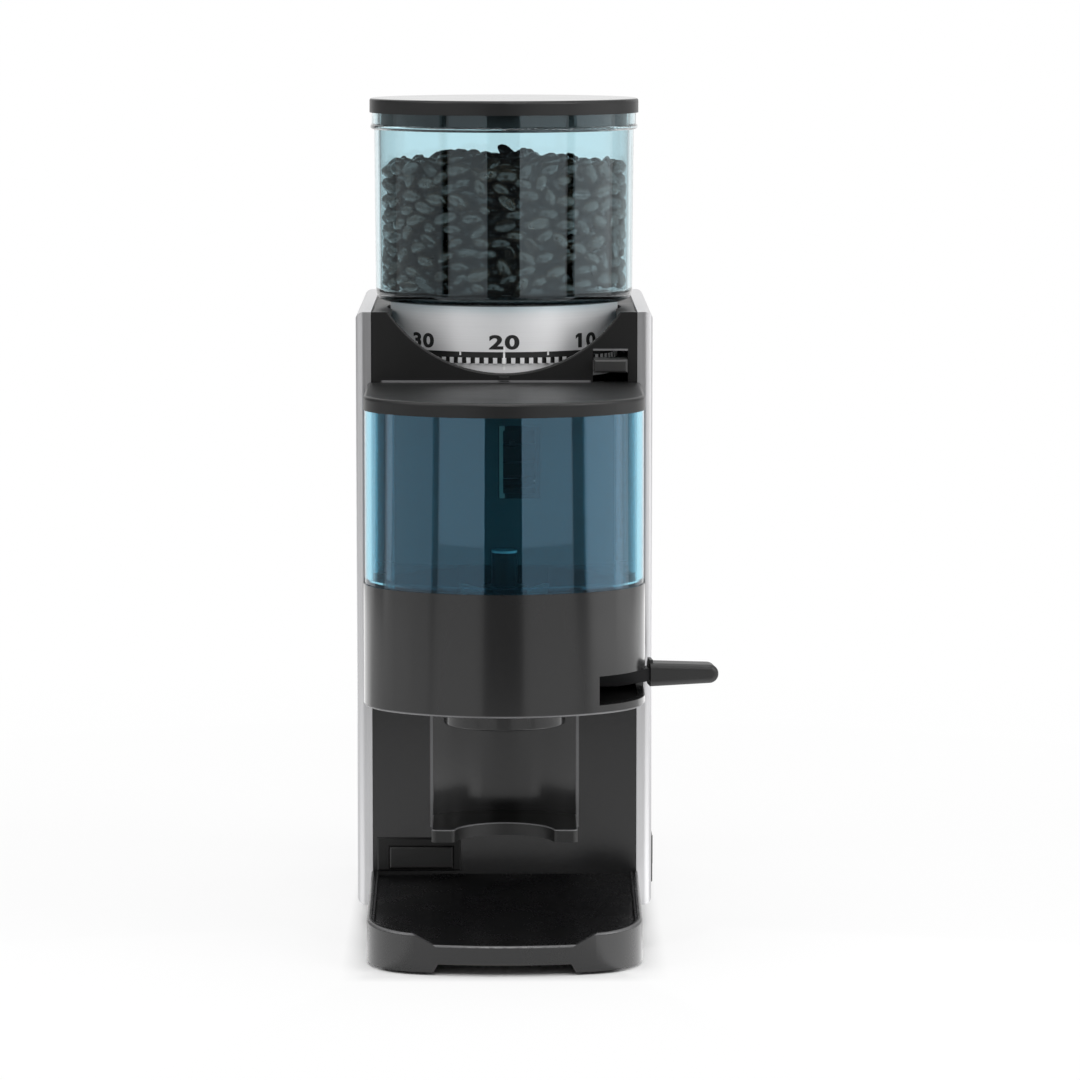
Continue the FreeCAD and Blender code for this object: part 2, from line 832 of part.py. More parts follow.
def front_panel():
    plate = box(-panel_half, panel_half, body_front_y, front_inner_y, shell_bottom_z, fascia_bottom_z)
    wall = recess_segment(front_sheet, fork_bottom_z - front_sheet, recess_top_z + front_sheet)
    hollow = recess_segment(0, fork_bottom_z, recess_top_z)
    grow = chute_wall + slip_gap
    duct = box(chute_left - grow, chute_right + grow, body_front_y, front_inner_y,
               chute_bottom_z - grow, chute_top_z + grow)
    sleeve = button_box(bezel_sleeve + body_gap + slip_gap, body_front_y, front_inner_y)
    fork_holes = fork_screw_rods(small_screw_radius + fit_gap, over, front_sheet + over)
    doser_holes = [rod_y(small_screw_radius + fit_gap, body_front_y, front_inner_y, x, z)
                   for x, z in drum_screw_places()]
    panel = fused(plate, wall).cut(hollow)
    panel = panel.makeFillet(recess_edge_radius, [e for e in panel.Edges
                                                  if near(e.BoundBox.ZMin, fork_bottom_z)
                                                  and near(e.BoundBox.ZMax, recess_top_z)
                                                  and near(e.BoundBox.YMin, body_front_y)])
    return cut_all(panel, duct, sleeve, *fork_holes, *doser_holes)


# Fork that carries the filter handle

def fork_screw_rods(radius, inwards, outwards):
    """Rods along the recess radius, from inside the fork to outside the recess wall."""
    start = recess_centre_y + recess_radius - inwards
    length = inwards + outwards
    middle_z = fork_bottom_z + fork_thickness / 2
    rod_out = Part.makeCylinder(radius, length, V(0, start, middle_z), V(0, 1, 0))
    return [turned(rod_out, sx * fork_screw_angle, 0, recess_centre_y) for sx in (-1, 1)]


def portafilter_fork():
    front_y = body_front_y - fork_reach
    arms = box(-fork_half, fork_half, front_y, body_front_y, fork_bottom_z, fork_top_z)
    heel = recess_segment(-slip_gap, fork_bottom_z, fork_top_z)
    notch_y = body_front_y - fork_notch_reach - fork_notch_radius
    notch = rod(fork_notch_radius, fork_bottom_z, fork_top_z, 0, notch_y)
    mouth = box(-fork_notch_radius, fork_notch_radius, front_y - fork_notch_radius, min(notch_y, front_y),
                fork_bottom_z, fork_top_z)
    arms = cut_all(arms, notch, mouth)
    uprights = [e for e in arms.Edges if near(e.BoundBox.XLength, 0) and near(e.BoundBox.YLength, 0)
                and near(e.Vertexes[0].Y, front_y)]
    arms = arms.makeFillet(fork_tip_radius, uprights)
    brim = [e for e in edges_on(arms, lambda p: near(p.z, fork_top_z))
            if not all(near(v.Y, body_front_y) for v in e.Vertexes)]
    plate = fused(arms.makeFillet(fork_edge_radius, brim), heel)
    return cut_all(plate, *fork_screw_rods(small_screw_radius + fit_gap, fork_screw_length, 0))


def fork_screws():
    shanks = fork_screw_rods(small_screw_radius, fork_screw_length, front_sheet)
    heads = fork_screw_rods(small_screw_head, -front_sheet, front_sheet + small_screw_head_height)
    return [fused(shank, head) for shank, head in zip(shanks, heads)]


# Push button

def button_box(grow, y0, y1):
    return box(button_left - grow, button_left + button_width + grow, y0, y1,
               button_bottom_z - grow, button_bottom_z + button_height + grow)


def button_bezel():
    plate = box(bezel_left, bezel_left + bezel_width, body_front_y - bezel_proud, body_front_y,
                bezel_bottom_z, bezel_bottom_z + bezel_height)
    rim = edges_on(plate, lambda p: near(p.y, body_front_y - bezel_proud))
    plate = plate.makeChamfer(bezel_proud / 2, rim)
    back_y = body_front_y + bezel_sleeve_depth
    sleeve = button_box(bezel_sleeve + body_gap, body_front_y, back_y)
    hole = button_box(body_gap, body_front_y - bezel_proud, back_y)
    return fused(plate, sleeve).cut(hole)


def push_button():
    front_y = body_front_y - button_proud
    cap = button_box(0, front_y, front_y + button_depth)
    return cap.makeFillet(button_edge_radius, edges_on(cap, lambda p: near(p.y, front_y)))


def button_switch():
    y0 = body_front_y + bezel_sleeve_depth
    body = button_box(bezel_sleeve + body_gap, y0, y0 + switch_depth)
    plunger_y = body_front_y - button_proud + button_depth + button_travel + body_gap
    plunger = rod_y(plunger_radius, plunger_y, y0, button_left + button_width / 2,
                    button_bottom_z + button_height / 2)
    return fused(body, plunger)


# Power rocker

def rocker_box(grow, x0, x1):
    half_length = rocker_length / 2 + rocker_end_gap + grow
    half_height = rocker_height / 2 + body_gap + grow
    return box(x0, x1, rocker_y - half_length, rocker_y + half_length,
               rocker_middle_z - half_height, rocker_middle_z + half_height)


def rocker_pivot_x():
    return half_body - rocker_depth / 2


def rocker_frame():
    outer_x = half_body + rocker_frame_proud
    inner_x = half_body - rocker_frame_depth
    lip = rocker_box(rocker_frame_wall + rocker_frame_lip, half_body, outer_x)
    lip = lip.makeFillet(rocker_frame_edge, edges_on(lip, lambda p: near(p.x, outer_x)))
    body = rocker_box(rocker_frame_wall, inner_x, half_body)
    pocket = rocker_box(0, half_body - rocker_depth - 2 * rocker_frame_wall, outer_x)
    reach = rocker_height / 2 + body_gap + rocker_frame_wall
    pin_hole = rod(rocker_pin_radius + fit_gap, rocker_middle_z - reach, rocker_middle_z + reach,
                   rocker_pivot_x(), rocker_y)
    return cut_all(fused(lip, body), pocket, pin_hole)


def power_rocker():
    face_x = half_body + rocker_proud
    half = rocker_length / 2
    outline = [(face_x, -half), (face_x - rocker_dip, 0), (face_x, half), (rocker_pivot_x(), half),
               (half_body - rocker_depth, 0), (rocker_pivot_x(), -half)]
    cap = slab_z([(x, rocker_y + y) for x, y in outline], rocker_middle_z - rocker_height / 2,
                 rocker_middle_z + rocker_height / 2)
    reach = rocker_height / 2 + body_gap + rocker_frame_wall
    pin = rod(rocker_pin_radius, rocker_middle_z - reach, rocker_middle_z + reach, rocker_pivot_x(),
              rocker_y)
    return turned(fused(cap, pin), -rocker_tilt, rocker_pivot_x(), rocker_y)


# Motor

def tie_bolt_holes(z0, z1):
    hole = rod(tie_bolt_radius + fit_gap, z0, z1, tie_bolt_circle, axis_y)
    return around(hole, tie_bolt_count, 0, axis_y)


def motor_shield(plate_z, wall_z0, wall_z1, boss_z):
    """An end cup of the motor, with a plate, a wall and a boss for its bearing."""
    plate = rod(motor_radius, plate_z, plate_z + shield_plate, 0, axis_y)
    wall = ring(motor_radius, motor_radius - shield_wall, wall_z0, wall_z1, 0, axis_y)
    boss = ring(bearing_radius + fit_gap + bearing_boss_wall, bearing_radius + fit_gap,
                boss_z, boss_z + bearing_width, 0, axis_y)
    return fused(plate, wall, boss).cut(rod(chamber_shaft_hole, plate_z, plate_z + shield_plate, 0, axis_y))


def motor_lower_shield():
    plate_z = stator_bottom_z - lower_shield_height
    cup = motor_shield(plate_z, plate_z, stator_bottom_z, plate_z + shield_plate)
    return cut_all(cup, *tie_bolt_holes(plate_z, plate_z + shield_plate))


def motor_upper_shield():
    plate_z = chassis_bottom_z - shield_plate
    cup = motor_shield(plate_z, stator_top_z, chassis_bottom_z, plate_z - bearing_width)
    return cut_all(cup, *tie_bolt_holes(plate_z, chassis_bottom_z),
                   *chamber_screw_holes(plate_z, chassis_bottom_z))


def motor_bearings():
    low = stator_bottom_z - lower_shield_height + shield_plate
    high = chassis_bottom_z - shield_plate - bearing_width
    return Part.makeCompound([ring(bearing_radius, shaft_radius + fit_gap, z, z + bearing_width, 0, axis_y)
                              for z in (low, high)])


def motor_stator():
    stack = ring(motor_radius, stator_bore, stator_bottom_z, stator_top_z, 0, axis_y)
    return cut_all(stack, *tie_bolt_holes(stator_bottom_z, stator_top_z))


def stator_windings():
    return Part.makeCompound([ring(winding_outer, winding_inner, z, z + winding_height, 0, axis_y)
                              for z in (stator_bottom_z - winding_height, stator_top_z)])


def motor_tie_bolts():
    low = stator_bottom_z - lower_shield_height
    bolt = fused(rod(tie_bolt_radius, low, chassis_bottom_z, tie_bolt_circle, axis_y),
                 rod(tie_head_radius, low - tie_head_height, low, tie_bolt_circle, axis_y))
    return Part.makeCompound(around(bolt, tie_bolt_count, 0, axis_y))


def motor_shaft():
    return rod(shaft_radius, stator_bottom_z - lower_shield_height, lower_burr_z + shaft_thread, 0, axis_y)


def rotor_core():
    return ring(stator_bore - rotor_gap, shaft_radius + fit_gap, stator_bottom_z, stator_top_z, 0, axis_y)


def cooling_fan():
    z0 = stator_top_z + winding_height + fan_above_winding
    hub = ring(fan_hub_radius, shaft_radius + fit_gap, z0, z0 + fan_height, 0, axis_y)
    disc = ring(fan_radius, shaft_radius + fit_gap, z0, z0 + fan_disc, 0, axis_y)
    blade = box(fan_hub_radius - root, fan_radius - fan_blade_inset, axis_y - fan_disc / 2,
                axis_y + fan_disc / 2,
                z0, z0 + fan_height)
    return fused(hub, disc, *around(blade, fan_blade_count, 0, axis_y))


# Grinding chamber and burrs

def grinding_chamber():
    drum = rod(chamber_radius, chassis_top_z, chamber_top_z, 0, axis_y)
    duct = box(chute_left - chute_wall, chute_right + chute_wall, body_front_y, axis_y,
               chute_bottom_z - chute_wall, chute_top_z + chute_wall)
    mouth_y = axis_y - math.sqrt(chamber_bore ** 2 - chute_right ** 2) + over
    way = box(chute_left, chute_right, body_front_y, mouth_y, chute_bottom_z, chute_top_z)
    bore = rod(chamber_bore, chamber_floor_z, chamber_top_z, 0, axis_y)
    shaft_hole = rod(chamber_shaft_hole, chassis_top_z, chamber_floor_z, 0, axis_y)
    sink = rod(chamber_screw_head + fit_gap, chamber_floor_z - chamber_screw_head_height, chamber_floor_z,
               chamber_screw_circle, axis_y)
    sinks = around(sink, chamber_screw_count, 0, axis_y, chamber_screw_start)
    return cut_all(fused(drum, duct), way, bore, shaft_hole, *sinks,
                   *chamber_screw_holes(chassis_top_z, chamber_floor_z))


def chamber_screws():
    head_z = chamber_floor_z - chamber_screw_head_height
    screw = fused(rod(chamber_screw_head, head_z, chamber_floor_z, chamber_screw_circle, axis_y),
                  rod(chamber_screw_radius, chassis_bottom_z - shield_plate, head_z, chamber_screw_circle,
                      axis_y))
    return Part.makeCompound(around(screw, chamber_screw_count, 0, axis_y, chamber_screw_start))


def at_burr_screws(shape):
    return around(shape, burr_screw_count, 0, axis_y, burr_screw_start)


def burr(z0, face_z, sink_z):
    """A flat cutting ring with slanted grooves in the face at face_z."""
    blank = ring(burr_radius, burr_bore, z0, z0 + burr_thickness, 0, axis_y)
    groove_z = face_z - burr_groove_depth
    groove = box(burr_bore - over, burr_radius + over, axis_y + burr_groove_width,
                 axis_y + 2 * burr_groove_width,
                 groove_z, groove_z + 2 * burr_groove_depth)
    hole = rod(burr_screw_radius + fit_gap, z0, z0 + burr_thickness, burr_screw_circle, axis_y)
    sink = rod(burr_screw_head + fit_gap, sink_z, sink_z + burr_screw_sink, burr_screw_circle, axis_y)
    return cut_all(blank, *around(groove, burr_groove_count, 0, axis_y), *at_burr_screws(hole),
                   *at_burr_screws(sink))


def lower_burr():
    face_z = lower_burr_z + burr_thickness
    return burr(lower_burr_z, face_z, face_z - burr_screw_sink)


def upper_burr():
    return burr(upper_burr_z, upper_burr_z, upper_burr_z)


def burr_screw_set(head_z0, head_z1, shank_z0, shank_z1):
    screw = fused(rod(burr_screw_head, head_z0, head_z1, burr_screw_circle, axis_y),
                  rod(burr_screw_radius, shank_z0, shank_z1, burr_screw_circle, axis_y))
    return Part.makeCompound(at_burr_screws(screw))


def lower_burr_screws():
    seat_z = lower_burr_z + burr_thickness - burr_screw_sink
    return burr_screw_set(seat_z, seat_z + burr_screw_sink - body_gap, lower_burr_z - burr_screw_bite,
                          seat_z)


def upper_burr_screws():
    seat_z = upper_burr_z + burr_screw_sink
    return burr_screw_set(upper_burr_z + body_gap, seat_z, seat_z, carrier_face_z + burr_screw_bite)


def burr_screw_holes(z0, z1):
    return at_burr_screws(rod(burr_screw_radius + fit_gap, z0, z1, burr_screw_circle, axis_y))


def lower_burr_carrier():
    disc = rod(carrier_radius, lower_carrier_z, lower_burr_z, 0, axis_y)
    hub_z = chamber_floor_z + sweep_gap
    hub = rod(carrier_hub_radius, hub_z, lower_burr_z, 0, axis_y)
    sweep = box(carrier_hub_radius - root, carrier_radius - sweep_inset, axis_y - sweep_width / 2,
                axis_y + sweep_width / 2,
                hub_z, lower_carrier_z)
    bore = rod(shaft_radius + fit_gap, hub_z, lower_burr_z, 0, axis_y)
    return cut_all(fused(disc, hub, *around(sweep, sweep_count, 0, axis_y)), bore,
                   *burr_screw_holes(lower_burr_z - burr_screw_bite, lower_burr_z))


def upper_burr_carrier():
    skirt = chamber_bore - body_gap
    body = lathe([(burr_bore, carrier_face_z), (skirt, carrier_face_z), (skirt, collar_bottom_z),
                  (carrier_flange_radius, collar_bottom_z), (carrier_flange_radius, web_bottom_z),
                  (funnel_top_radius, web_bottom_z)], axis_y)
    return cut_all(body, *burr_screw_holes(carrier_face_z, carrier_face_z + burr_screw_bite))


# Grind collar and bean hopper

def grind_collar():
    seat = carrier_flange_radius + slip_gap
    web_bore = throat_radius + slip_gap
    crown_top_z = crown_bottom_z + crown_height
    band_top_z = crown_top_z + band_height
    groove = collar_radius - band_depth
    body = lathe([(seat, collar_bottom_z), (lip_radius, collar_bottom_z), (lip_radius, crown_bottom_z),
                  (collar_radius, crown_bottom_z), (collar_radius, crown_top_z), (groove, crown_top_z),
                  (groove, band_top_z), (collar_radius, band_top_z), (collar_radius, collar_top_z),
                  (collar_bore, collar_top_z), (collar_bore, web_top_z), (web_bore, web_top_z),
                  (web_bore, web_bottom_z), (seat, web_bottom_z)], axis_y)
    half = crown_notch_width / 2
    notch = box(collar_radius - crown_notch_depth, collar_radius + over, axis_y - half, axis_y + half,
                crown_bottom_z, crown_top_z)
    return cut_all(body, *around(notch, crown_notch_count, 0, axis_y, 180.0 / crown_notch_count),
                   *hopper_screw_holes())


def hopper_screw_holes():
    hole = rod(hopper_screw_radius + fit_gap, collar_top_z - hopper_screw_length,
               collar_top_z + hopper_wall,
               hopper_screw_circle, axis_y)
    return around(hole, hopper_screw_count, 0, axis_y, hopper_screw_start)


def bean_hopper():
    throat_z = collar_top_z - throat_drop
    cone_z = throat_z + throat_straight
    spigot = collar_bore - slip_gap
    slant = math.atan2(collar_top_z - cone_z, spigot - throat_radius)
    lift = hopper_wall / math.cos(slant)
    floor_z = collar_top_z + hopper_wall
    floor_radius = spigot - (lift - hopper_wall) / math.tan(slant)
    throat_bore = throat_radius - hopper_wall
    rim_z0 = hopper_top_z - hopper_rim_height
    step = hopper_rim_radius - hopper_top_radius
    cone_top = cone_z + lift - hopper_wall * math.tan(slant)
    body = lathe([(throat_radius, throat_z), (throat_radius, cone_z), (spigot, collar_top_z),
                  (hopper_low_radius, collar_top_z), (hopper_top_radius, rim_z0 - step),
                  (hopper_rim_radius, rim_z0), (hopper_rim_radius, hopper_top_z),
                  (hopper_top_radius - hopper_wall, hopper_top_z),
                  (hopper_low_radius - hopper_wall, floor_z),
                  (floor_radius, floor_z), (throat_bore, cone_top), (throat_bore, throat_z)], axis_y)
    outer_corner = circles_at(body, hopper_low_radius, collar_top_z)
    body = body.makeFillet(hopper_corner_radius, outer_corner)
    inner_corner = circles_at(body, hopper_low_radius - hopper_wall, floor_z)
    body = body.makeFillet(hopper_inner_corner, inner_corner)
    bead_centre = hopper_rim_radius + hopper_bead_proud - hopper_bead_radius
    bead = Part.makeTorus(bead_centre, hopper_bead_radius, V(0, axis_y, rim_z0 - hopper_bead_drop))
    return cut_all(fused(body, bead), *hopper_screw_holes())


def circles_at(shape, radius, z):
    return [e for e in shape.Edges if isinstance(e.Curve, Part.Circle)
            and near(e.Curve.Radius, radius) and near(e.Curve.Center.z, z)]


def hopper_screws():
    seat_z = collar_top_z + hopper_wall
    screw = fused(rod(hopper_screw_head, seat_z, seat_z + hopper_screw_head_height, hopper_screw_circle,
                      axis_y),
                  rod(hopper_screw_radius, collar_top_z - hopper_screw_length, seat_z, hopper_screw_circle,
                      axis_y))
    return Part.makeCompound(around(screw, hopper_screw_count, 0, axis_y, hopper_screw_start))


def hopper_lid():
    top_z = hopper_top_z + lid_height
    disc = rod(lid_radius, hopper_top_z, top_z, 0, axis_y)
    disc = disc.makeFillet(lid_edge_radius, circles_at(disc, lid_radius, top_z))
    outer = hopper_top_radius - hopper_wall - lid_skirt_gap
    return fused(disc, ring(outer, outer - lid_skirt_wall, hopper_top_z - lid_skirt_depth, hopper_top_z, 0,
                            axis_y))


# Lock lever

def lock_eye_span():
    return lock_bar_left - lock_eye_overhang, lock_bar_right + lock_eye_overhang


def lock_ear_places():
    eye_left, eye_right = lock_eye_span()
    return [eye_left - body_gap - lock_ear_width, eye_right + body_gap]


def lock_tab_span():
    """Left, right, front and back of the tab."""
    left = lock_slot_left + body_gap
    right = lock_slot_left + lock_slot_width - body_gap
    front = body_front_y - lock_tab_reach
    return left, right, front, front + lock_tab_depth


def lock_tongue(grow):
    left, right, front, back = lock_tab_span()
    middle = (left + right) / 2
    half = lock_tongue_width / 2 + grow
    return box(middle - half, middle + half, back - lock_tongue_reach - grow, back,
               lock_bar_z - grow, lock_bar_z + lock_bar_thickness + grow)


def lock_lever():
    left, right, front, back = lock_tab_span()
    top_z = lock_bar_z + lock_bar_thickness
    cross = box((left + right) / 2 - lock_tongue_width / 2, lock_bar_right, back, back + lock_cross_width,
                lock_bar_z, top_z)
    bar = box(lock_bar_left, lock_bar_right, back, lock_pivot_y, lock_bar_z, top_z)
    tooth = box(collar_radius + body_gap, lock_bar_left + lock_bar_width / 2,
                axis_y - crown_notch_width / 2,
                axis_y + crown_notch_width / 2, lock_bar_z, top_z)
    eye_left, eye_right = lock_eye_span()
    eye = rod_x(lock_eye_radius, eye_left, eye_right, lock_pivot_y, lock_pivot_z)
    hole = rod_x(lock_pin_radius + fit_gap, eye_left, eye_right, lock_pivot_y, lock_pivot_z)
    return fused(lock_tongue(0), cross, bar, tooth, eye).cut(hole)


def lock_tab():
    left, right, front, back = lock_tab_span()
    block = box(left, right, front, back, lock_tab_bottom_z, lock_tab_bottom_z + lock_tab_height)
    block = block.makeFillet(lock_tab_edge, edges_on(block, lambda p: near(p.y, front)))
    return block.cut(lock_tongue(slip_gap))


def lock_pivot_pin():
    first, second = lock_ear_places()
    return rod_x(lock_pin_radius, first, second + lock_ear_width, lock_pivot_y, lock_pivot_z)


def lock_spring():
    x = (lock_bar_left + lock_bar_right) / 2
    y = body_front_y + lock_spring_setback
    return ring(lock_spring_radius, lock_spring_radius - lock_spring_wall,
                lock_bar_z + lock_bar_thickness + body_gap, top_cover_under_z, x, y)


# Doser shell

def window_screw_places():
    x = window_half - window_wall - window_flange / 2
    return [(sx * x, y) for sx in (-1, 1) for y in (body_front_y - window_screw_reach,
                                                    body_front_y - doser_straight)]


def drum_screw_places():
    x = drum_half - drum_wall - drum_screw_inset
    return [(sx * x, z) for sx in (-1, 1) for z in (drum_bottom_z + drum_screw_inset,
                                                    drum_top_z - drum_deck - drum_screw_inset)]


def doser_window():
    outer = doser_prism(window_half, 0, body_front_y, drum_top_z, window_top_z)
    inner = doser_prism(window_half, window_wall, body_front_y, drum_top_z, window_top_z)
    flange_top_z = drum_top_z + window_flange_height
    foot = doser_prism(window_half, 0, body_front_y, drum_top_z, flange_top_z)
    foot = foot.cut(doser_prism(window_half, window_wall + window_flange, body_front_y, drum_top_z,
                                flange_top_z))
    edge = box(window_half - window_rear_flange, window_half - window_wall / 2, body_front_y - window_wall,
               body_front_y, drum_top_z, window_top_z)
    holes = [rod(small_screw_radius + fit_gap, drum_top_z, flange_top_z, x, y)
             for x, y in window_screw_places()]
    return cut_all(fused(outer.cut(inner), foot, edge, mirrored(edge)), *holes)


def doser_lid():
    back_y = body_front_y - body_gap
    plate = doser_prism(lid_half, 0, back_y, window_top_z, doser_lid_top_z)
    top_edges = edges_on(plate, lambda p: near(p.z, doser_lid_top_z))
    rim = [e for e in top_edges if not near(e.BoundBox.YMin, back_y)]
    plate = plate.makeFillet(doser_lid_edge, rim)
    rail_x = window_half - window_wall - lid_skirt_gap
    rail_y = body_front_y - window_rear_flange
    rail = box(rail_x - doser_lid_skirt_wall, rail_x, rail_y - doser_lid_skirt_length, rail_y,
               window_top_z - doser_lid_skirt_depth, window_top_z)
    return fused(plate, rail, mirrored(rail))


def outlet(grow, z0, z1):
    widen = math.degrees(grow / ((outlet_inner + outlet_outer) / 2))
    return sector(outlet_inner - grow, outlet_outer + grow, to_rear - outlet_half_angle - widen,
                  to_rear + outlet_half_angle + widen, z0, z1, dose_axis_y)


def cover_screw_places():
    side = drum_half - drum_wall - cover_screw_inset
    return [(-side, body_front_y - cover_screw_left_reach),
            (side, body_front_y - drum_wall - cover_screw_inset),
            (-cover_screw_front_x, body_front_y - cover_screw_front_reach)]


def doser_drum():
    back_y = body_front_y - drum_wall
    deck_z = drum_top_z - drum_deck
    cover_top_z = drum_bottom_z + drum_cover
    outer = doser_prism(drum_half, 0, body_front_y, drum_bottom_z, drum_top_z)
    outer = outer.makeFillet(drum_edge_radius, [e for e in outer.Edges if near(e.BoundBox.ZLength, 0)
                                                and near(e.BoundBox.ZMin, drum_bottom_z)
                                                and e.BoundBox.YMin < back_y])
    inner = doser_prism(drum_half, drum_wall, back_y, drum_bottom_z, deck_z)
    liner = rod(drum_bore + drum_liner, drum_floor_z, deck_z, 0, dose_axis_y)
    bore = rod(drum_bore, drum_floor_z + drum_floor, drum_top_z, 0, dose_axis_y)
    boss = rod(post_boss_radius, drum_floor_z - post_boss_drop, drum_floor_z, 0, dose_axis_y)
    chute = outlet(outlet_wall, cover_top_z, drum_floor_z)
    posts = [rod(cover_boss_radius, cover_top_z, deck_z, x, y).cut(bore) for x, y in cover_screw_places()]
    body = fused(outer.cut(inner.cut(liner)), boss, chute, *posts).cut(bore)
    slot = sector(drum_bore - drum_liner, drum_half + doser_reach, lever_slot_front, lever_slot_rear,
                  lever_slot_bottom_z, lever_slot_bottom_z + lever_slot_height, dose_axis_y)
    pawl_slot = sector(pawl_circle - pawl_slot_half, pawl_circle + pawl_slot_half,
                       lever_rest_angle - lever_stroke - pawl_slot_margin,
                       lever_rest_angle + pawl_slot_margin,
                       drum_floor_z, drum_floor_z + drum_floor, dose_axis_y)
    post_hole = rod(post_radius + fit_gap, drum_floor_z - post_boss_drop, drum_floor_z + drum_floor, 0,
                    dose_axis_y)
    window_holes = [rod(small_screw_radius + fit_gap, deck_z, drum_top_z, x, y)
                    for x, y in window_screw_places()]
    drum_holes = [rod_y(small_screw_radius + fit_gap, back_y, body_front_y, x, z)
                  for x, z in drum_screw_places()]
    cover_holes = [rod(small_screw_radius + fit_gap, cover_top_z, cover_top_z + small_screw_length, x, y)
                   for x, y in cover_screw_places()]
    return cut_all(body, outlet(0, drum_bottom_z, drum_floor_z + drum_floor), slot, pawl_slot, post_hole,
                   *window_holes, *drum_holes, *cover_holes)


def doser_bottom_cover():
    inset = drum_wall + slip_gap
    top_z = drum_bottom_z + drum_cover
    plate = doser_prism(drum_half, inset, body_front_y - inset, drum_bottom_z, top_z)
    rest = ring(lever_hub_radius - lever_rest_margin, post_boss_radius + body_gap, top_z,
                lever_bottom_z - body_gap, 0, dose_axis_y)
    holes = [rod(small_screw_radius + fit_gap, drum_bottom_z, top_z, x, y) for x, y in cover_screw_places()]
    sinks = [rod(small_screw_head + fit_gap, drum_bottom_z, drum_bottom_z + small_screw_head_height, x, y)
             for x, y in cover_screw_places()]
    return cut_all(fused(plate, rest), outlet(0, drum_bottom_z, top_z), *holes, *sinks)


def small_screws():
    screws = fork_screws()
    flange_top_z = drum_top_z + window_flange_height
    for x, y in window_screw_places():
        screws.append(fused(rod(small_screw_head, flange_top_z, flange_top_z + small_screw_head_height, x,
                                y),
                            rod(small_screw_radius, flange_top_z - small_screw_length, flange_top_z, x, y)))
    for x, z in drum_screw_places():
        screws.append(fused(rod_y(small_screw_head, front_inner_y, front_inner_y + small_screw_head_height,
                                  x, z),
                            rod_y(small_screw_radius, front_inner_y - front_sheet - drum_wall,
                                  front_inner_y, x, z)))
    for x, y in cover_screw_places():
        seat_z = drum_bottom_z + small_screw_head_height
        screws.append(fused(rod(small_screw_head, drum_bottom_z, seat_z, x, y),
                            rod(small_screw_radius, seat_z, seat_z + small_screw_length, x, y)))
    return Part.makeCompound(screws)


def dose_spout():
    top_z = drum_bottom_z
    tube = ring(spout_radius, spout_radius - spout_wall, spout_bottom_z, top_z, 0, spout_y)
    tube = tube.makeFillet(spout_edge_radius, circles_at(tube, spout_radius, spout_bottom_z))
    flange = ring(spout_radius + spout_flange, spout_radius - spout_wall, top_z - spout_flange_height,
                  top_z,
                  0, spout_y)
    return fused(tube, flange)


# Star wheel and dosing lever

def doser_post():
    return rod(post_radius, drum_floor_z - post_boss_drop, post_top_z, 0, dose_axis_y)


def star_wheel():
    top_z = star_bottom_z + star_hub_height
    hub = rod(star_hub_radius, star_bottom_z, top_z, 0, dose_axis_y)
    half = vane_thickness / 2
    vane = box(star_hub_radius - root, vane_radius, dose_axis_y - half, dose_axis_y + half, star_bottom_z,
               star_bottom_z + vane_height)
    vane = vane.common(rod(vane_radius, star_bottom_z, top_z, 0, dose_axis_y))
    ratchet = ring(ratchet_outer, ratchet_inner, star_bottom_z, star_bottom_z + ratchet_height, 0,
                   dose_axis_y)
    bore = rod(post_radius + fit_gap, star_bottom_z, top_z, 0, dose_axis_y)
    return fused(hub, ratchet, *around(vane, vane_count, 0, dose_axis_y, 180.0 / vane_count)).cut(bore)


def dose_nut():
    z0 = star_bottom_z + star_hub_height + body_gap
    nut = hexagon(dose_nut_radius, z0, z0 + dose_nut_height, 0, dose_axis_y)
    knob = rod(dose_knob_radius, z0 + dose_nut_height, dose_knob_top_z, 0, dose_axis_y)
    return fused(nut, knob).cut(rod(post_radius + fit_gap, z0, post_top_z + slip_gap, 0, dose_axis_y))


def at_rest_angle(shape):
    """Turn a lever piece, drawn along +X, to where the lever rests."""
    return turned(shape, lever_rest_angle, 0, dose_axis_y)


def arm_outline():
    """Side view of the arm: flat inside the drum, then raised into the grip."""
    rise = grip_bottom_z + (grip_height - lever_thickness) / 2 - lever_bottom_z
    return [(lever_hub_radius - root, lever_bottom_z), (arm_bend, lever_bottom_z),
            (grip_inner, lever_bottom_z + rise), (arm_outer, lever_bottom_z + rise),
            (arm_outer, lever_top_z + rise), (grip_inner - arm_bend_step, lever_top_z + rise),
            (arm_bend - arm_bend_step, lever_top_z), (lever_hub_radius - root, lever_top_z)]


def arm_blank():
    half = lever_width / 2
    return slab_y(arm_outline(), dose_axis_y - half, dose_axis_y + half)


def dosing_lever():
    hub = rod(lever_hub_radius, lever_bottom_z, lever_top_z, 0, dose_axis_y)
    bore = rod(post_boss_radius + fit_gap, lever_bottom_z, lever_top_z, 0, dose_axis_y)
    return at_rest_angle(fused(hub, arm_blank()).cut(bore))


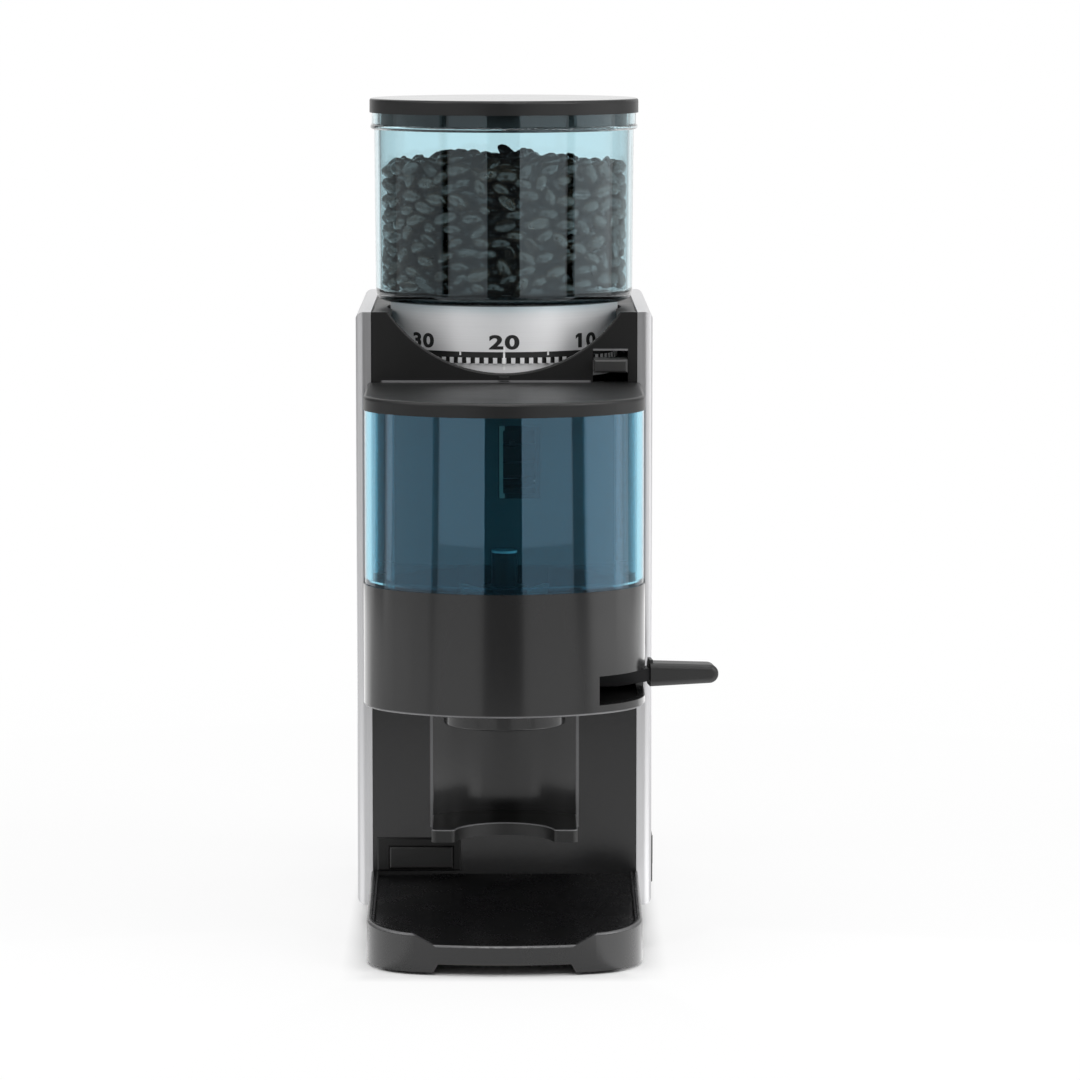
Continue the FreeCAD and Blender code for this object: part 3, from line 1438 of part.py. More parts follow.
def lever_grip():
    """A tapering handle with a round tip and a low stop ridge at its inner end."""
    tip_drop = (grip_height - grip_tip_height) / 2
    top_z = grip_bottom_z + grip_height
    tip_radius = grip_tip_height / 2
    shoulder = grip_outer - tip_radius
    y0 = dose_axis_y - grip_width / 2
    low_in = V(grip_inner, y0, grip_bottom_z)
    low_out = V(shoulder, y0, grip_bottom_z + tip_drop)
    tip = V(grip_outer, y0, grip_bottom_z + tip_drop + tip_radius)
    high_out = V(shoulder, y0, top_z - tip_drop)
    high_in = V(grip_inner, y0, top_z)
    wire = Part.Wire([Part.makeLine(low_in, low_out), Part.Arc(low_out, tip, high_out).toShape(),
                      Part.makeLine(high_out, high_in), Part.makeLine(high_in, low_in)])
    body = Part.Face(wire).extrude(V(0, grip_width, 0))
    long_edges = [e for e in body.Edges if near(e.BoundBox.YLength, 0) and e.BoundBox.XLength > 1]
    body = body.makeFillet(grip_edge_radius, long_edges)
    ridge = box(grip_inner, grip_inner + grip_ridge, y0 + grip_edge_radius,
                y0 + grip_width - grip_edge_radius,
                top_z - grip_edge_radius, top_z + grip_ridge)
    return at_rest_angle(fused(body, ridge).cut(arm_blank()))


def lever_pawl():
    return at_rest_angle(rod(pawl_radius, lever_top_z, star_bottom_z - pawl_top_gap, pawl_circle,
                             dose_axis_y))


def lever_return_spring():
    return ring(return_spring_outer, post_boss_radius + body_gap, lever_top_z + body_gap, drum_floor_z,
                0, dose_axis_y)


# Electrical pieces

def run_capacitor():
    return rod(capacitor_radius, shell_bottom_z, shell_bottom_z + capacitor_height, capacitor_x,
               capacitor_y)


def capacitor_clip():
    return ring(capacitor_radius + fit_gap + clip_wall, capacitor_radius + fit_gap, shell_bottom_z,
                shell_bottom_z + clip_height, capacitor_x, capacitor_y)


def terminal_block():
    x0 = terminal_x - terminal_width / 2
    y0 = terminal_y - terminal_depth / 2
    top_z = shell_bottom_z + terminal_height
    block = box(x0, x0 + terminal_width, y0, y0 + terminal_depth, shell_bottom_z, top_z)
    pitch = terminal_width / terminal_way_count
    ways = [rod(terminal_hole_radius, top_z - terminal_hole_depth, top_z, x0 + pitch * (i + 0.5), terminal_y)
            for i in range(terminal_way_count)]
    return cut_all(block, *ways)


def all_pieces():
    makers = [
        base, feet, frame_pillars, pillar_nuts, chassis_plate, rear_panel, panel_screws,
        cable_gland, top_cover, fascia, front_panel, portafilter_fork, button_bezel,
        push_button, button_switch, rocker_frame, power_rocker, motor_lower_shield,
        motor_upper_shield, motor_bearings, motor_stator, stator_windings, motor_tie_bolts,
        motor_shaft, rotor_core, cooling_fan, grinding_chamber, chamber_screws, lower_burr,
        upper_burr, lower_burr_screws, upper_burr_screws, lower_burr_carrier,
        upper_burr_carrier, grind_collar, bean_hopper, hopper_screws, hopper_lid, lock_lever,
        lock_tab, lock_pivot_pin, lock_spring, doser_window, doser_lid, doser_drum,
        doser_bottom_cover, small_screws, dose_spout, doser_post, star_wheel, dose_nut,
        dosing_lever, lever_grip, lever_pawl, lever_return_spring, run_capacitor,
        capacitor_clip, terminal_block, left_side_panel, right_side_panel,
    ]
    return {maker.__name__: maker() for maker in makers}


os.makedirs("parts", exist_ok=True)
for name, shape in all_pieces().items():
    shape.exportStep("parts/" + name + ".step")
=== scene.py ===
"""Finishes, beans, dial numbers and studio for a packed coffee grinder with a doser."""

import json
import math
import random

import bmesh
import bpy
from bpy.props import FloatProperty, FloatVectorProperty, IntProperty, PointerProperty
from mathutils import Matrix, Vector


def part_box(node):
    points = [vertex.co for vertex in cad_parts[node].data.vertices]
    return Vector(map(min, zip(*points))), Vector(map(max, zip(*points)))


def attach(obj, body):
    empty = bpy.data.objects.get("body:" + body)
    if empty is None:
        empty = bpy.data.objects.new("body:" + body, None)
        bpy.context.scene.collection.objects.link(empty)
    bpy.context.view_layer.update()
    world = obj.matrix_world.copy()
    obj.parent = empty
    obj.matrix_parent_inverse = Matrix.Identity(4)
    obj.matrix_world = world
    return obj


bl_info = {
    "name": "Doser Coffee Grinder",
    "version": (1, 0, 0),
    "blender": (4, 5, 0),
    "location": "3D View > Sidebar > Grinder",
    "description": "Dresses the packed grinder: finishes, roasted beans and dial numbers",
    "category": "Object",
}

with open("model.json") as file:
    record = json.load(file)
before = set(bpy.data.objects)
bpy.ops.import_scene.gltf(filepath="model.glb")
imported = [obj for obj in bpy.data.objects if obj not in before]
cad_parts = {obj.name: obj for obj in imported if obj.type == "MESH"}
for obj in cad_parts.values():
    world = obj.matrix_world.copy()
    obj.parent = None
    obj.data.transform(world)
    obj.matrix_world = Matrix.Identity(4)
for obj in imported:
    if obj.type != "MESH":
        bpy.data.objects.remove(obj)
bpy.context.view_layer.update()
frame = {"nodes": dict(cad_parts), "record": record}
NODES = frame["nodes"]
SLOT_OF = {part["node"]: part["material_slot"] for part in frame["record"]["subparts"]}
MM = 0.001
HOPPER_LOW, HOPPER_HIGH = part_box("bean_hopper")
COLLAR_LOW, COLLAR_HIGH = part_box("grind_collar")
AXIS_Y = (COLLAR_LOW.y + COLLAR_HIGH.y) / 2
AXIS = Vector((0, AXIS_Y, 0))
COLLAR_RADIUS = (COLLAR_HIGH.x - COLLAR_LOW.x) / 2
DRUM_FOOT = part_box("doser_drum")[0].z
LID_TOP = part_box("hopper_lid")[1].z
CHUTE_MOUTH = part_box("grinding_chamber")[0].y
BURR_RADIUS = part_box("lower_burr")[1].x
BASE_LOW, BASE_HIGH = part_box("base")
KNOB_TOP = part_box("dose_nut")[1].z

# Colours of painted light: the grey of painted highlights on edges (on the fork also wear), the painted
# glow inside the doser and the painted lit side of the chute's mouth.
HIGHLIGHT_AND_WEAR_GREY = (0.16, 0.16, 0.165)
PAINTED_GLOW_GREY = (0.115, 0.102, 0.092)
LIT_SIDE_TAN = (0.7, 0.42, 0.32)
WHITE = (1.0, 1.0, 1.0, 1.0)

# Where the painted highlights, the painted glow inside the doser and the painted lit side of the chute
# lie, across and in height, in metres.
FASCIA_FOOT = (-50 * MM, 35 * MM), (228.3 * MM, 229.2 * MM)
LOCK_SLOT_LIP = (36.8 * MM, 50.8 * MM), (241.5 * MM, 242.2 * MM)
DOSER_INSIDE = (0.0, 46 * MM), (153 * MM, 222 * MM)
RECESS_EDGE = (29.9 * MM, 30.7 * MM), (43.0 * MM, 101.5 * MM)
CHUTE_LIT_SIDE = (-2.0 * MM, 0.1 * MM)
# Height below which the hopper's tint is darker: painted shade at its foot.
HOPPER_FOOT = 263.0 * MM

# The dial: its divisions, the heights of its marks and the radius of the ground behind its notches.
DIAL_DIVISIONS = 80
DIAL_STEP = 10
DIAL_FRONT = 20
DIAL_BAND = 235.7 * MM, 240.5 * MM
DIAL_HALF_TICK = 239.0 * MM, 240.5 * MM
DIAL_FULL_TICK = 233.0 * MM, 242.6 * MM
DIAL_TICK_TURN = math.radians(0.5)
DIAL_GROUND = 47.62 * MM

# The numbers: height of a digit in the font, spacing, weight, and the cuts that let them bend.
FONT_DIGIT = 0.69
DIGIT_SPACING = 1.12
DIGIT_WEIGHT = 0.3 * MM
CUTS_EACH_SIDE = 24
CUT_PITCH = 0.4 * MM
INK_GAP = 0.01 * MM
FLAG_START, FLAG_OUT, FLAG_DROP = 0.24, 0.16, 0.17

# The beans: the room that they have, and the mound and the ripples of their heap.
BEAN_FLOOR = 263.6 * MM
BEAN_WALL_FOOT, BEAN_WALL_TOP = 51.5 * MM, 52.0 * MM
BEAN_CLEARANCE = 0.25 * MM
HEAP_ROUNDNESS = 2.2
MOUND_HEIGHT, MOUND_RADIUS, MOUND_X, MOUND_Y = 3.5 * MM, 9 * MM, -20 * MM, -26 * MM
RIPPLE_HEIGHT, RIPPLE_X, RIPPLE_Y, RIPPLE_START = 1.2 * MM, 7 * MM, 9 * MM, 1.3
CORE_RADIUS, CORE_DEPTH = 40 * MM, 5 * MM

# How the beans lie. Each layer along the wall has its distance from it, its spacing and its tries.
BEAN_LAYERS = (0.0, 1.0, 9000), (6.5 * MM, 1.08, 5000)
TOP_RADIUS, TOP_SPACING, TOP_TRIES = 46 * MM, 0.8, 6000
BACKS_OUT = 0.75
BEAN_SCALES = 0.88, 1.1
WALL_TILT, WALL_TURN, TOP_TILT = 0.3, 0.5, 0.45
FIRST_ROW, LAST_ROW, SINK = 2.6 * MM, 2.0 * MM, 3.0 * MM

# One bean, made from a ball of width 1: how thick it starts, and how flat and creased its face is.
BEAN_SWELL, FACE_FLATNESS = 1.35, 0.5
CREASE_WIDTH, CREASE_REACH, CREASE_DEPTH = 0.05, 0.45, 0.17


def colour(name, note, value):
    """A linear RGB colour that a user may change."""
    return FloatVectorProperty(
        name=name, description=note, subtype="COLOR", size=3, min=0.0, max=1.0, default=value)


def length(name, note, value):
    """A length in metres that a user may change."""
    return FloatProperty(
        name=name, description=note, unit="LENGTH", precision=5, min=0.0, default=value)


class GrinderSizes(bpy.types.PropertyGroup):
    """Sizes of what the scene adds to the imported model."""

    digit_height: length("Digit height", "Height of the numbers on the dial", 5.4 * MM)
    digit_width: FloatProperty(
        name="Digit width", description="Stretch of the digits sideways", default=1.5)
    digit_base: length("Digit base", "Height of the foot of the numbers above the floor", 241.9 * MM)
    ink: length("Ink", "Thickness of the printed numbers", 0.04 * MM)
    bean_length: length("Bean length", "Length of a coffee bean", 9.6 * MM)
    bean_width: length("Bean width", "Width of a coffee bean", 6.0 * MM)
    bean_depth: length("Bean depth", "Thickness of a coffee bean", 5.0 * MM)
    bean_pitch: length("Bean pitch", "Least distance of two beans that lie end to end", 7.4 * MM)
    bean_rise: FloatProperty(
        name="Bean rise", description="How much closer beans lie one above the other", default=1.55)
    heap_side: length("Heap at the wall", "Height of the heap of beans at the wall", 314.0 * MM)
    heap_middle: length("Heap in the middle", "Height of the heap of beans in the middle", 319.8 * MM)
    seed: IntProperty(name="Seed", description="Start of the random draws for the beans", default=7)


class GrinderColours(bpy.types.PropertyGroup):
    """Colours of the finishes, as linear values."""

    moulding: colour("Moulding", "Black moulded parts", (0.006, 0.006, 0.0061))
    base: colour("Base", "Moulded base and tray", (0.006, 0.006, 0.0064))
    lid: colour("Lids", "Lids of the hopper and of the doser", (0.0095, 0.0097, 0.01))
    drum: colour("Drum", "Doser drum and spout", (0.014, 0.014, 0.0142))
    front: colour("Front panel", "Paint of the front panel", (0.012, 0.012, 0.0125))
    fork: colour("Fork", "Paint of the portafilter fork", (0.004, 0.004, 0.004))
    rear: colour("Rear panel", "Paint of the rear panel", (0.02, 0.02, 0.02))
    control: colour("Controls", "Button, rocker, lock tab and lever grip", (0.013, 0.013, 0.013))
    hopper: colour("Hopper tint", "Tint of one wall of the bean hopper", (0.71, 0.875, 0.92))
    window: colour("Window tint", "Tint of one wall of the doser window", (0.25, 0.62, 0.78))
    stainless: colour("Stainless", "Brushed side panels", (0.60, 0.60, 0.61))
    collar: colour("Collar", "Turned aluminium of the grind collar", (0.82, 0.82, 0.83))
    cast: colour("Casting", "Cast aluminium", (0.55, 0.55, 0.56))
    black_steel: colour("Black steel", "Blackened lever, doser post and small screws", (0.03, 0.03, 0.031))
    steel: colour("Steel", "Plated steel", (0.58, 0.57, 0.55))
    copper: colour("Windings", "Enamelled copper", (0.60, 0.22, 0.08))
    iron: colour("Laminations", "Motor iron", (0.16, 0.16, 0.17))
    star: colour("Star wheel", "Plastic of the star wheel, stained by coffee", (0.13, 0.115, 0.1))
    rubber: colour("Rubber", "Feet", (0.015, 0.015, 0.015))
    dust: colour("Coffee dust", "Chamber and carriers, stained by ground coffee", (0.012, 0.008, 0.006))
    ink: colour("Ink", "Numbers and the band on the dial", (0.008, 0.008, 0.008))
    bean_dark: colour("Dark bean", "Darkest beans", (0.009, 0.0052, 0.0034))
    bean_light: colour("Light bean", "Lightest beans", (0.05, 0.0295, 0.0185))


class GrinderStage(bpy.types.PropertyGroup):
    """Camera, lamps and floor."""

    camera_place: FloatVectorProperty(
        name="Camera", description="Place of the camera", subtype="TRANSLATION", unit="LENGTH",
        default=(0.0, -2.040, 0.396))
    camera_pitch: FloatProperty(
        name="Pitch", description="How far the camera looks down", subtype="ANGLE",
        default=math.radians(6.6))
    camera_turn: FloatProperty(
        name="Turn", description="How far the camera turns to its right", subtype="ANGLE",
        default=math.radians(0.42))
    lens: FloatProperty(name="Lens", description="Focal length in millimetres", default=163.33)
    lamp_power: FloatProperty(
        name="Side lamps", description="Middle power of the side lamps", unit="POWER", default=12.0)
    top_power: FloatProperty(
        name="Top lamps", description="Power of the lamps above and in front", unit="POWER", default=12.0)
    ambient: FloatProperty(name="Ambient", description="Light from all round", default=0.45)
    floor_glow: FloatProperty(
        name="Floor glow", description="Share of plain white in the floor by the grinder", default=0.82)


# Finishes


class Finish:
    """A node material that is being put together."""

    def __init__(self, name):
        self.material = bpy.data.materials.new(name)
        self.material.use_nodes = True
        self.tree = self.material.node_tree
        self.shader = self.tree.nodes["Principled BSDF"]
        self._coords = None

    def node(self, kind, settings=None, **sockets):
        """Adds a node, sets its options and fills or links its named sockets."""
        made = self.tree.nodes.new("ShaderNode" + kind)
        for key, value in (settings or {}).items():
            setattr(made, key, value)
        for key, value in sockets.items():
            self.feed(made, int(key[1:]) if key[1:].isdigit() else key.replace("_", " "), value)
        return made

    def feed(self, node, socket, value):
        """Links an output to a socket, or sets the socket's own value."""
        if isinstance(value, bpy.types.NodeSocket):
            self.tree.links.new(value, node.inputs[socket])
        else:
            node.inputs[socket].default_value = value

    def plain(self, **values):
        """Sets constants on the shader's own sockets."""
        for key, value in values.items():
            value = (*value, 1.0) if key == "Base_Color" else value
            self.shader.inputs[key.replace("_", " ")].default_value = value
        return self

    @property
    def coords(self):
        """Object coordinates in metres."""
        if self._coords is None:
            self._coords = self.node("TexCoord").outputs["Object"]
        return self._coords

    def place(self, axis):
        """One of the Object coordinates, in metres."""
        return self.node("SeparateXYZ", Vector=self.coords).outputs[axis]

    def from_axis(self):
        """X, and Y from the upright axis of the burrs, and the distance from that axis."""
        x, y = self.place("X"), self.maths("SUBTRACT", self.place("Y"), AXIS_Y)
        squares = [self.maths("MULTIPLY", part, part) for part in (x, y)]
        return x, y, self.maths("SQRT", self.maths("ADD", *squares))

    def band(self, value, low, high, soft):
        """1 where a value lies between two limits, with soft ends."""
        rising = self.span(value, 0.0, 1.0, low - soft, low)
        return self.maths("MULTIPLY", rising, self.span(value, 1.0, 0.0, high, high + soft))

    def patch(self, across, ends, soft_x, soft_z):
        """1 inside a patch, given by its ends across and in height, with soft edges."""
        wide, high = ends
        return self.maths(
            "MULTIPLY", self.band(across, *wide, soft_x), self.band(self.place("Z"), *high, soft_z))

    def stretched(self, scale):
        """Object coordinates with their axes scaled."""
        return self.node("Mapping", Vector=self.coords, Scale=scale).outputs["Vector"]

    def noise(self, scale, detail=2.0, vector=None):
        """Noise between 0 and 1."""
        made = self.node("TexNoise", Vector=vector or self.coords, Scale=scale, Detail=detail)
        return made.outputs["Fac"]

    def span(self, value, low, high, start=0.0, end=1.0):
        """Maps start..end of a value to low..high."""
        made = self.node("MapRange", i0=value, i1=start, i2=end, i3=low, i4=high)
        return made.outputs[0]

    def maths(self, operation, *values):
        """One sum on numbers."""
        made = self.node("Math", {"operation": operation})
        for index, value in enumerate(values):
            self.feed(made, index, value)
        return made.outputs[0]

    def mix(self, share, first, second):
        """Mixes two colours."""
        made = self.node("Mix", {"data_type": "RGBA"})
        self.feed(made, "Factor", share)
        for socket, value in zip((made.inputs[6], made.inputs[7]), (first, second)):
            if isinstance(value, bpy.types.NodeSocket):
                self.tree.links.new(value, socket)
            else:
                socket.default_value = (*value, 1.0)
        return made.outputs[2]

    def drive(self, **links):
        """Links outputs to the shader's sockets."""
        for key, value in links.items():
            self.feed(self.shader, key.replace("_", " "), value)
        return self

    def relief(self, height, strength, distance, below=None):
        """A bump from a height value, on top of another bump."""
        made = self.node("Bump", Height=height, Strength=strength, Distance=distance)
        if below is not None:
            self.feed(made, "Normal", below)
        return made.outputs["Normal"]


def shade(base, factor):
    """A colour made darker or lighter."""
    return tuple(min(1.0, part * factor) for part in base)


def moulded(name, base, rough=0.36, grain=1500.0, depth=0.03, spread=0.22, gloss=0.5,
            wear_and_highlight=None, highlight_colour=HIGHLIGHT_AND_WEAR_GREY, polished=None):
    """Moulded plastic with a fine grain, flow marks and perhaps polished places, and perhaps lighter
    places that are painted light.
    """
    look = Finish(name)
    flow = look.noise(14.0, 3.0)
    speck = look.noise(grain, 2.0)
    wear = look.noise(60.0, 4.0, look.stretched((1.0, 1.0, 0.35)))
    skin = look.mix(flow, shade(base, 1.0 - spread), shade(base, 1.0 + spread))
    # Lighter places mixed in as painted light, such as highlights on edges and the lit side of a chute's
    # mouth.
    if wear_and_highlight:
        skin = look.mix(wear_and_highlight(look), skin, highlight_colour)
    dull = look.maths(
        "ADD", look.span(wear, rough - 0.05, rough + 0.06), look.span(speck, -0.03, 0.03))
    if polished:
        dull = look.maths("MULTIPLY", dull, look.span(polished(look), 1.0, 0.25))
    look.drive(Base_Color=skin, Roughness=dull, Normal=look.relief(speck, 0.28, depth * MM))
    return look.plain(Specular_IOR_Level=gloss).material


def painted(name, base, rough=0.42, wear_and_highlight=None, painted_glow=None):
    """Powder paint with orange peel, perhaps lighter edges that are painted highlights (on the fork also
    wear), and perhaps a lighter patch that is painted glow.
    """
    look = Finish(name)
    peel = look.noise(420.0, 1.0)
    speck = look.noise(2400.0, 2.0)
    cloud = look.noise(9.0, 3.0)
    skin = look.mix(cloud, shade(base, 0.85), shade(base, 1.2))
    # A lighter patch: painted glow.
    if painted_glow:
        skin = look.mix(painted_glow(look), skin, PAINTED_GLOW_GREY)
    # Lighter edges: painted highlights, on the fork also wear.
    if wear_and_highlight:
        skin = look.mix(wear_and_highlight(look), skin, HIGHLIGHT_AND_WEAR_GREY)
    look.drive(
        Base_Color=skin,
        Roughness=look.span(speck, rough - 0.05, rough + 0.07),
        Normal=look.relief(speck, 0.2, 0.02 * MM, look.relief(peel, 0.25, 0.05 * MM)))
    return look.material


def drum_lip_highlight(look):
    """The lower edge of the drum, a lighter ragged band: a painted highlight."""
    rim = look.band(look.place("Z"), DRUM_FOOT + 0.05 * MM, DRUM_FOOT + 0.7 * MM, 0.25 * MM)
    return look.maths("MULTIPLY", rim, look.span(look.noise(90.0, 3.0), 0.5, 1.0))


def upward_edge_highlights(look, share):
    """The rounded edges of a piece that face upwards, made lighter: painted highlights."""
    normal = look.node("NewGeometry").outputs["Normal"]
    facing = look.node("SeparateXYZ", Vector=normal).outputs["Z"]
    return look.maths("MULTIPLY", look.band(facing, 0.3, 0.85, 0.12), share)


def base_edge_highlights(look):
    """The upward edges of the base, lightened half way: painted highlights."""
    return upward_edge_highlights(look, 0.5)


def fork_edge_wear_and_highlights(look):
    """The upward edges of the fork, lightened fully: painted highlights, and wear from filter holders."""
    return upward_edge_highlights(look, 1.0)


def fascia_highlights(look):
    """Painted highlights along the foot of the fascia and the upper lip of its lock slot."""
    x = look.place("X")
    foot = look.patch(x, FASCIA_FOOT, MM, 0.2 * MM)
    return look.maths("MAXIMUM", foot, look.patch(x, LOCK_SLOT_LIP, 0.3 * MM, 0.2 * MM))


def doser_glow(look):
    """The part of the front panel that stands inside the doser, lightened: painted glow."""
    return look.patch(look.maths("ABSOLUTE", look.place("X")), DOSER_INSIDE, MM, MM)


def chute_lit_side(look):
    """A narrow strip of the chute's mouth, lightened to tan: painted light on its lit side."""
    mouth = look.span(look.place("Y"), 1.0, 0.0, CHUTE_MOUTH + 0.1 * MM, CHUTE_MOUTH + 0.3 * MM)
    return look.maths("MULTIPLY", mouth, look.band(look.place("X"), *CHUTE_LIT_SIDE, 0.2 * MM))


def lid_top(look):
    """The flat top of the hopper lid, smoother than its rim."""
    return look.span(look.place("Z"), 0.0, 1.0, LID_TOP - 0.4 * MM, LID_TOP - 0.1 * MM)


def recess_edge_highlights(look):
    """The upright edges of the round recess, lightened: painted highlights."""
    return look.patch(look.maths("ABSOLUTE", look.place("X")), RECESS_EDGE, 0.4 * MM, 0.5 * MM)


def tinted(name, base, sheen, ior, clear=1.0, rough=0.012, foot=None):
    """Clear tinted plastic with a faint sink pattern from the mould and perhaps a darker foot: painted
    shade.
    """
    look = Finish(name)
    sink = look.noise(26.0, 1.0, look.stretched((1.0, 1.0, 0.25)))
    look.plain(Base_Color=base, Transmission_Weight=clear, IOR=ior, Roughness=rough)
    look.shader.inputs["Specular Tint"].default_value = (*sheen, 1.0)
    look.drive(Normal=look.relief(sink, 0.05, 0.1 * MM))
    if foot:
        # Darker below the foot height: painted shade.
        darkened = look.span(look.place("Z"), 1.0, 0.0, foot - 0.6 * MM, foot + 0.6 * MM)
        look.drive(Base_Color=look.mix(darkened, base, shade(base, 0.15)))
    open_way = look.node("BsdfTransparent", Color=(*base, 1.0))
    shadow = look.node("LightPath").outputs["Is Shadow Ray"]
    both = look.node("MixShader", i0=shadow, i1=look.shader.outputs[0], i2=open_way.outputs[0])
    look.feed(look.tree.nodes["Material Output"], "Surface", both.outputs[0])
    return look.material


def brushed(name, base, rough=0.34):
    """Sheet steel brushed up and down."""
    look = Finish(name)
    streak = look.noise(1.0, 4.0, look.stretched((2600.0, 2600.0, 14.0)))
    broad = look.noise(1.0, 3.0, look.stretched((90.0, 90.0, 5.0)))
    look.drive(
        Base_Color=look.mix(streak, shade(base, 0.86), shade(base, 1.1)),
        Roughness=look.maths(
            "ADD", look.span(streak, rough - 0.08, rough + 0.08), look.span(broad, -0.03, 0.03)),
        Normal=look.relief(streak, 0.12, 0.01 * MM))
    return look.plain(Metallic=1.0).material


def plated(name, base, rough=0.3):
    """Zinc-plated or bright steel."""
    look = Finish(name)
    cloud = look.noise(120.0, 4.0)
    speck = look.noise(2600.0, 2.0)
    look.drive(
        Base_Color=look.mix(cloud, shade(base, 0.85), shade(base, 1.1)),
        Roughness=look.span(cloud, rough - 0.06, rough + 0.1),
        Normal=look.relief(speck, 0.1, 0.01 * MM))
    return look.plain(Metallic=1.0).material


def ground(name, base, dust, rough=0.24):
    """Burr steel, bright on its teeth and caked with coffee round its rim."""
    look = Finish(name)
    cloud = look.noise(300.0, 4.0)
    ragged = look.maths("ADD", look.from_axis()[2], look.span(cloud, -MM, MM))
    caked = look.span(ragged, 0.0, 1.0, BURR_RADIUS - 3 * MM, BURR_RADIUS - 2 * MM)
    look.drive(
        Base_Color=look.mix(caked, shade(base, 0.95), dust),
        Metallic=look.span(caked, 1.0, 0.0),
        Roughness=look.span(caked, rough, 0.8))
    return look.material


def worn_and_highlit(name, base, highlight_colour, edge_z):
    """Blackened steel made light steel above a height: a painted highlight, and wear from handling."""
    look = Finish(name)
    cloud = look.noise(300.0, 3.0)
    ragged = look.maths("ADD", look.place("Z"), look.span(cloud, -0.2 * MM, 0.2 * MM))
    wear_and_highlight = look.span(ragged, 0.0, 1.0, edge_z - 0.2 * MM, edge_z)
    look.drive(
        Base_Color=look.mix(wear_and_highlight, base, highlight_colour),
        Roughness=look.span(cloud, 0.28, 0.44))
    return look.plain(Metallic=1.0).material


def cast(name, base, rough=0.5):
    """Sand-blasted casting."""
    look = Finish(name)
    pit = look.noise(900.0, 4.0)
    cloud = look.noise(40.0, 3.0)
    look.drive(
        Base_Color=look.mix(cloud, shade(base, 0.85), shade(base, 1.1)),
        Roughness=look.span(cloud, rough - 0.06, rough + 0.08),
        Normal=look.relief(pit, 0.4, 0.06 * MM))
    return look.plain(Metallic=1.0).material


def layered(name, base, pitch, rough, metallic):
    """Stacked sheets or wound wire: fine rings one above the other."""
    look = Finish(name)
    wave = look.maths("SINE", look.maths("MULTIPLY", look.place("Z"), 2 * math.pi / pitch))
    ring = look.span(wave, 0.0, 1.0, -1.0, 1.0)
    cloud = look.noise(200.0, 3.0)
    look.drive(
        Base_Color=look.mix(look.maths("MULTIPLY", ring, cloud), shade(base, 0.6), shade(base, 1.2)),
        Roughness=look.span(cloud, rough - 0.06, rough + 0.1),
        Normal=look.relief(ring, 0.6, 0.1 * MM))
    return look.plain(Metallic=metallic).material


def dial(name, base, ink):
    """Turned aluminium with a black printed band, black notch floors that are painted shade, and tick
    lines.
    """
    look = Finish(name)
    x, y, out = look.from_axis()
    z = look.place("Z")
    turn = look.maths("ARCTAN2", x, look.maths("MULTIPLY", y, -1.0))
    step = 2 * math.pi * DIAL_STEP / DIAL_DIVISIONS

    def between(low, high):
        """1 between two heights."""
        above = look.maths("GREATER_THAN", z, low)
        return look.maths("MULTIPLY", above, look.maths("LESS_THAN", z, high))

    def ticks(offset, heights):
        """Upright lines, one for each step of the dial."""
        away = look.maths("PINGPONG", look.maths("ADD", turn, 4 * math.pi + offset), step / 2)
        return look.maths("MULTIPLY", look.maths("LESS_THAN", away, DIAL_TICK_TURN), between(*heights))

    line = look.maths("MAXIMUM", ticks(step / 2, DIAL_HALF_TICK), ticks(0.0, DIAL_FULL_TICK))
    # Black below the notch floor radius: the printed band, and painted shade in the notches.
    band = look.maths("MULTIPLY", between(*DIAL_BAND), look.maths("LESS_THAN", out, DIAL_GROUND))
    black = look.maths("MULTIPLY", band, look.maths("SUBTRACT", 1.0, line))
    cut = look.noise(1.0, 2.0, look.stretched((6.0, 6.0, 5200.0)))
    metal = look.mix(cut, shade(base, 0.88), shade(base, 1.08))
    marked = look.mix(line, metal, (0.9, 0.9, 0.9))
    look.drive(
        Base_Color=look.mix(black, marked, ink),
        Metallic=look.span(look.maths("MAXIMUM", black, line), 0.5, 0.0),
        Roughness=look.span(cut, 0.42, 0.58),
        Normal=look.relief(cut, 0.15, 0.01 * MM))
    return look.material


def roasted(name, dark, light):
    """Roasted coffee beans: oily and mottled, each with its own shade."""
    look = Finish(name)
    own = look.node("Attribute", {"attribute_name": "bean_shade"}).outputs["Fac"]
    skin = look.noise(700.0, 4.0)
    mottle = look.maths("ADD", look.maths("MULTIPLY", own, 0.7), look.maths("MULTIPLY", skin, 0.3))
    look.drive(
        Base_Color=look.mix(mottle, dark, light),
        Roughness=look.span(skin, 0.15, 0.24),
        Normal=look.relief(skin, 0.1, 0.04 * MM))
    return look.plain(Specular_IOR_Level=0.95).material


def rubbery(name, base):
    """Moulded rubber."""
    look = Finish(name)
    speck = look.noise(1800.0, 3.0)
    look.drive(
        Base_Color=look.mix(speck, shade(base, 0.8), shade(base, 1.3)),
        Roughness=look.span(speck, 0.6, 0.8),
        Normal=look.relief(speck, 0.4, 0.05 * MM))
    return look.material


FINISHES = {}


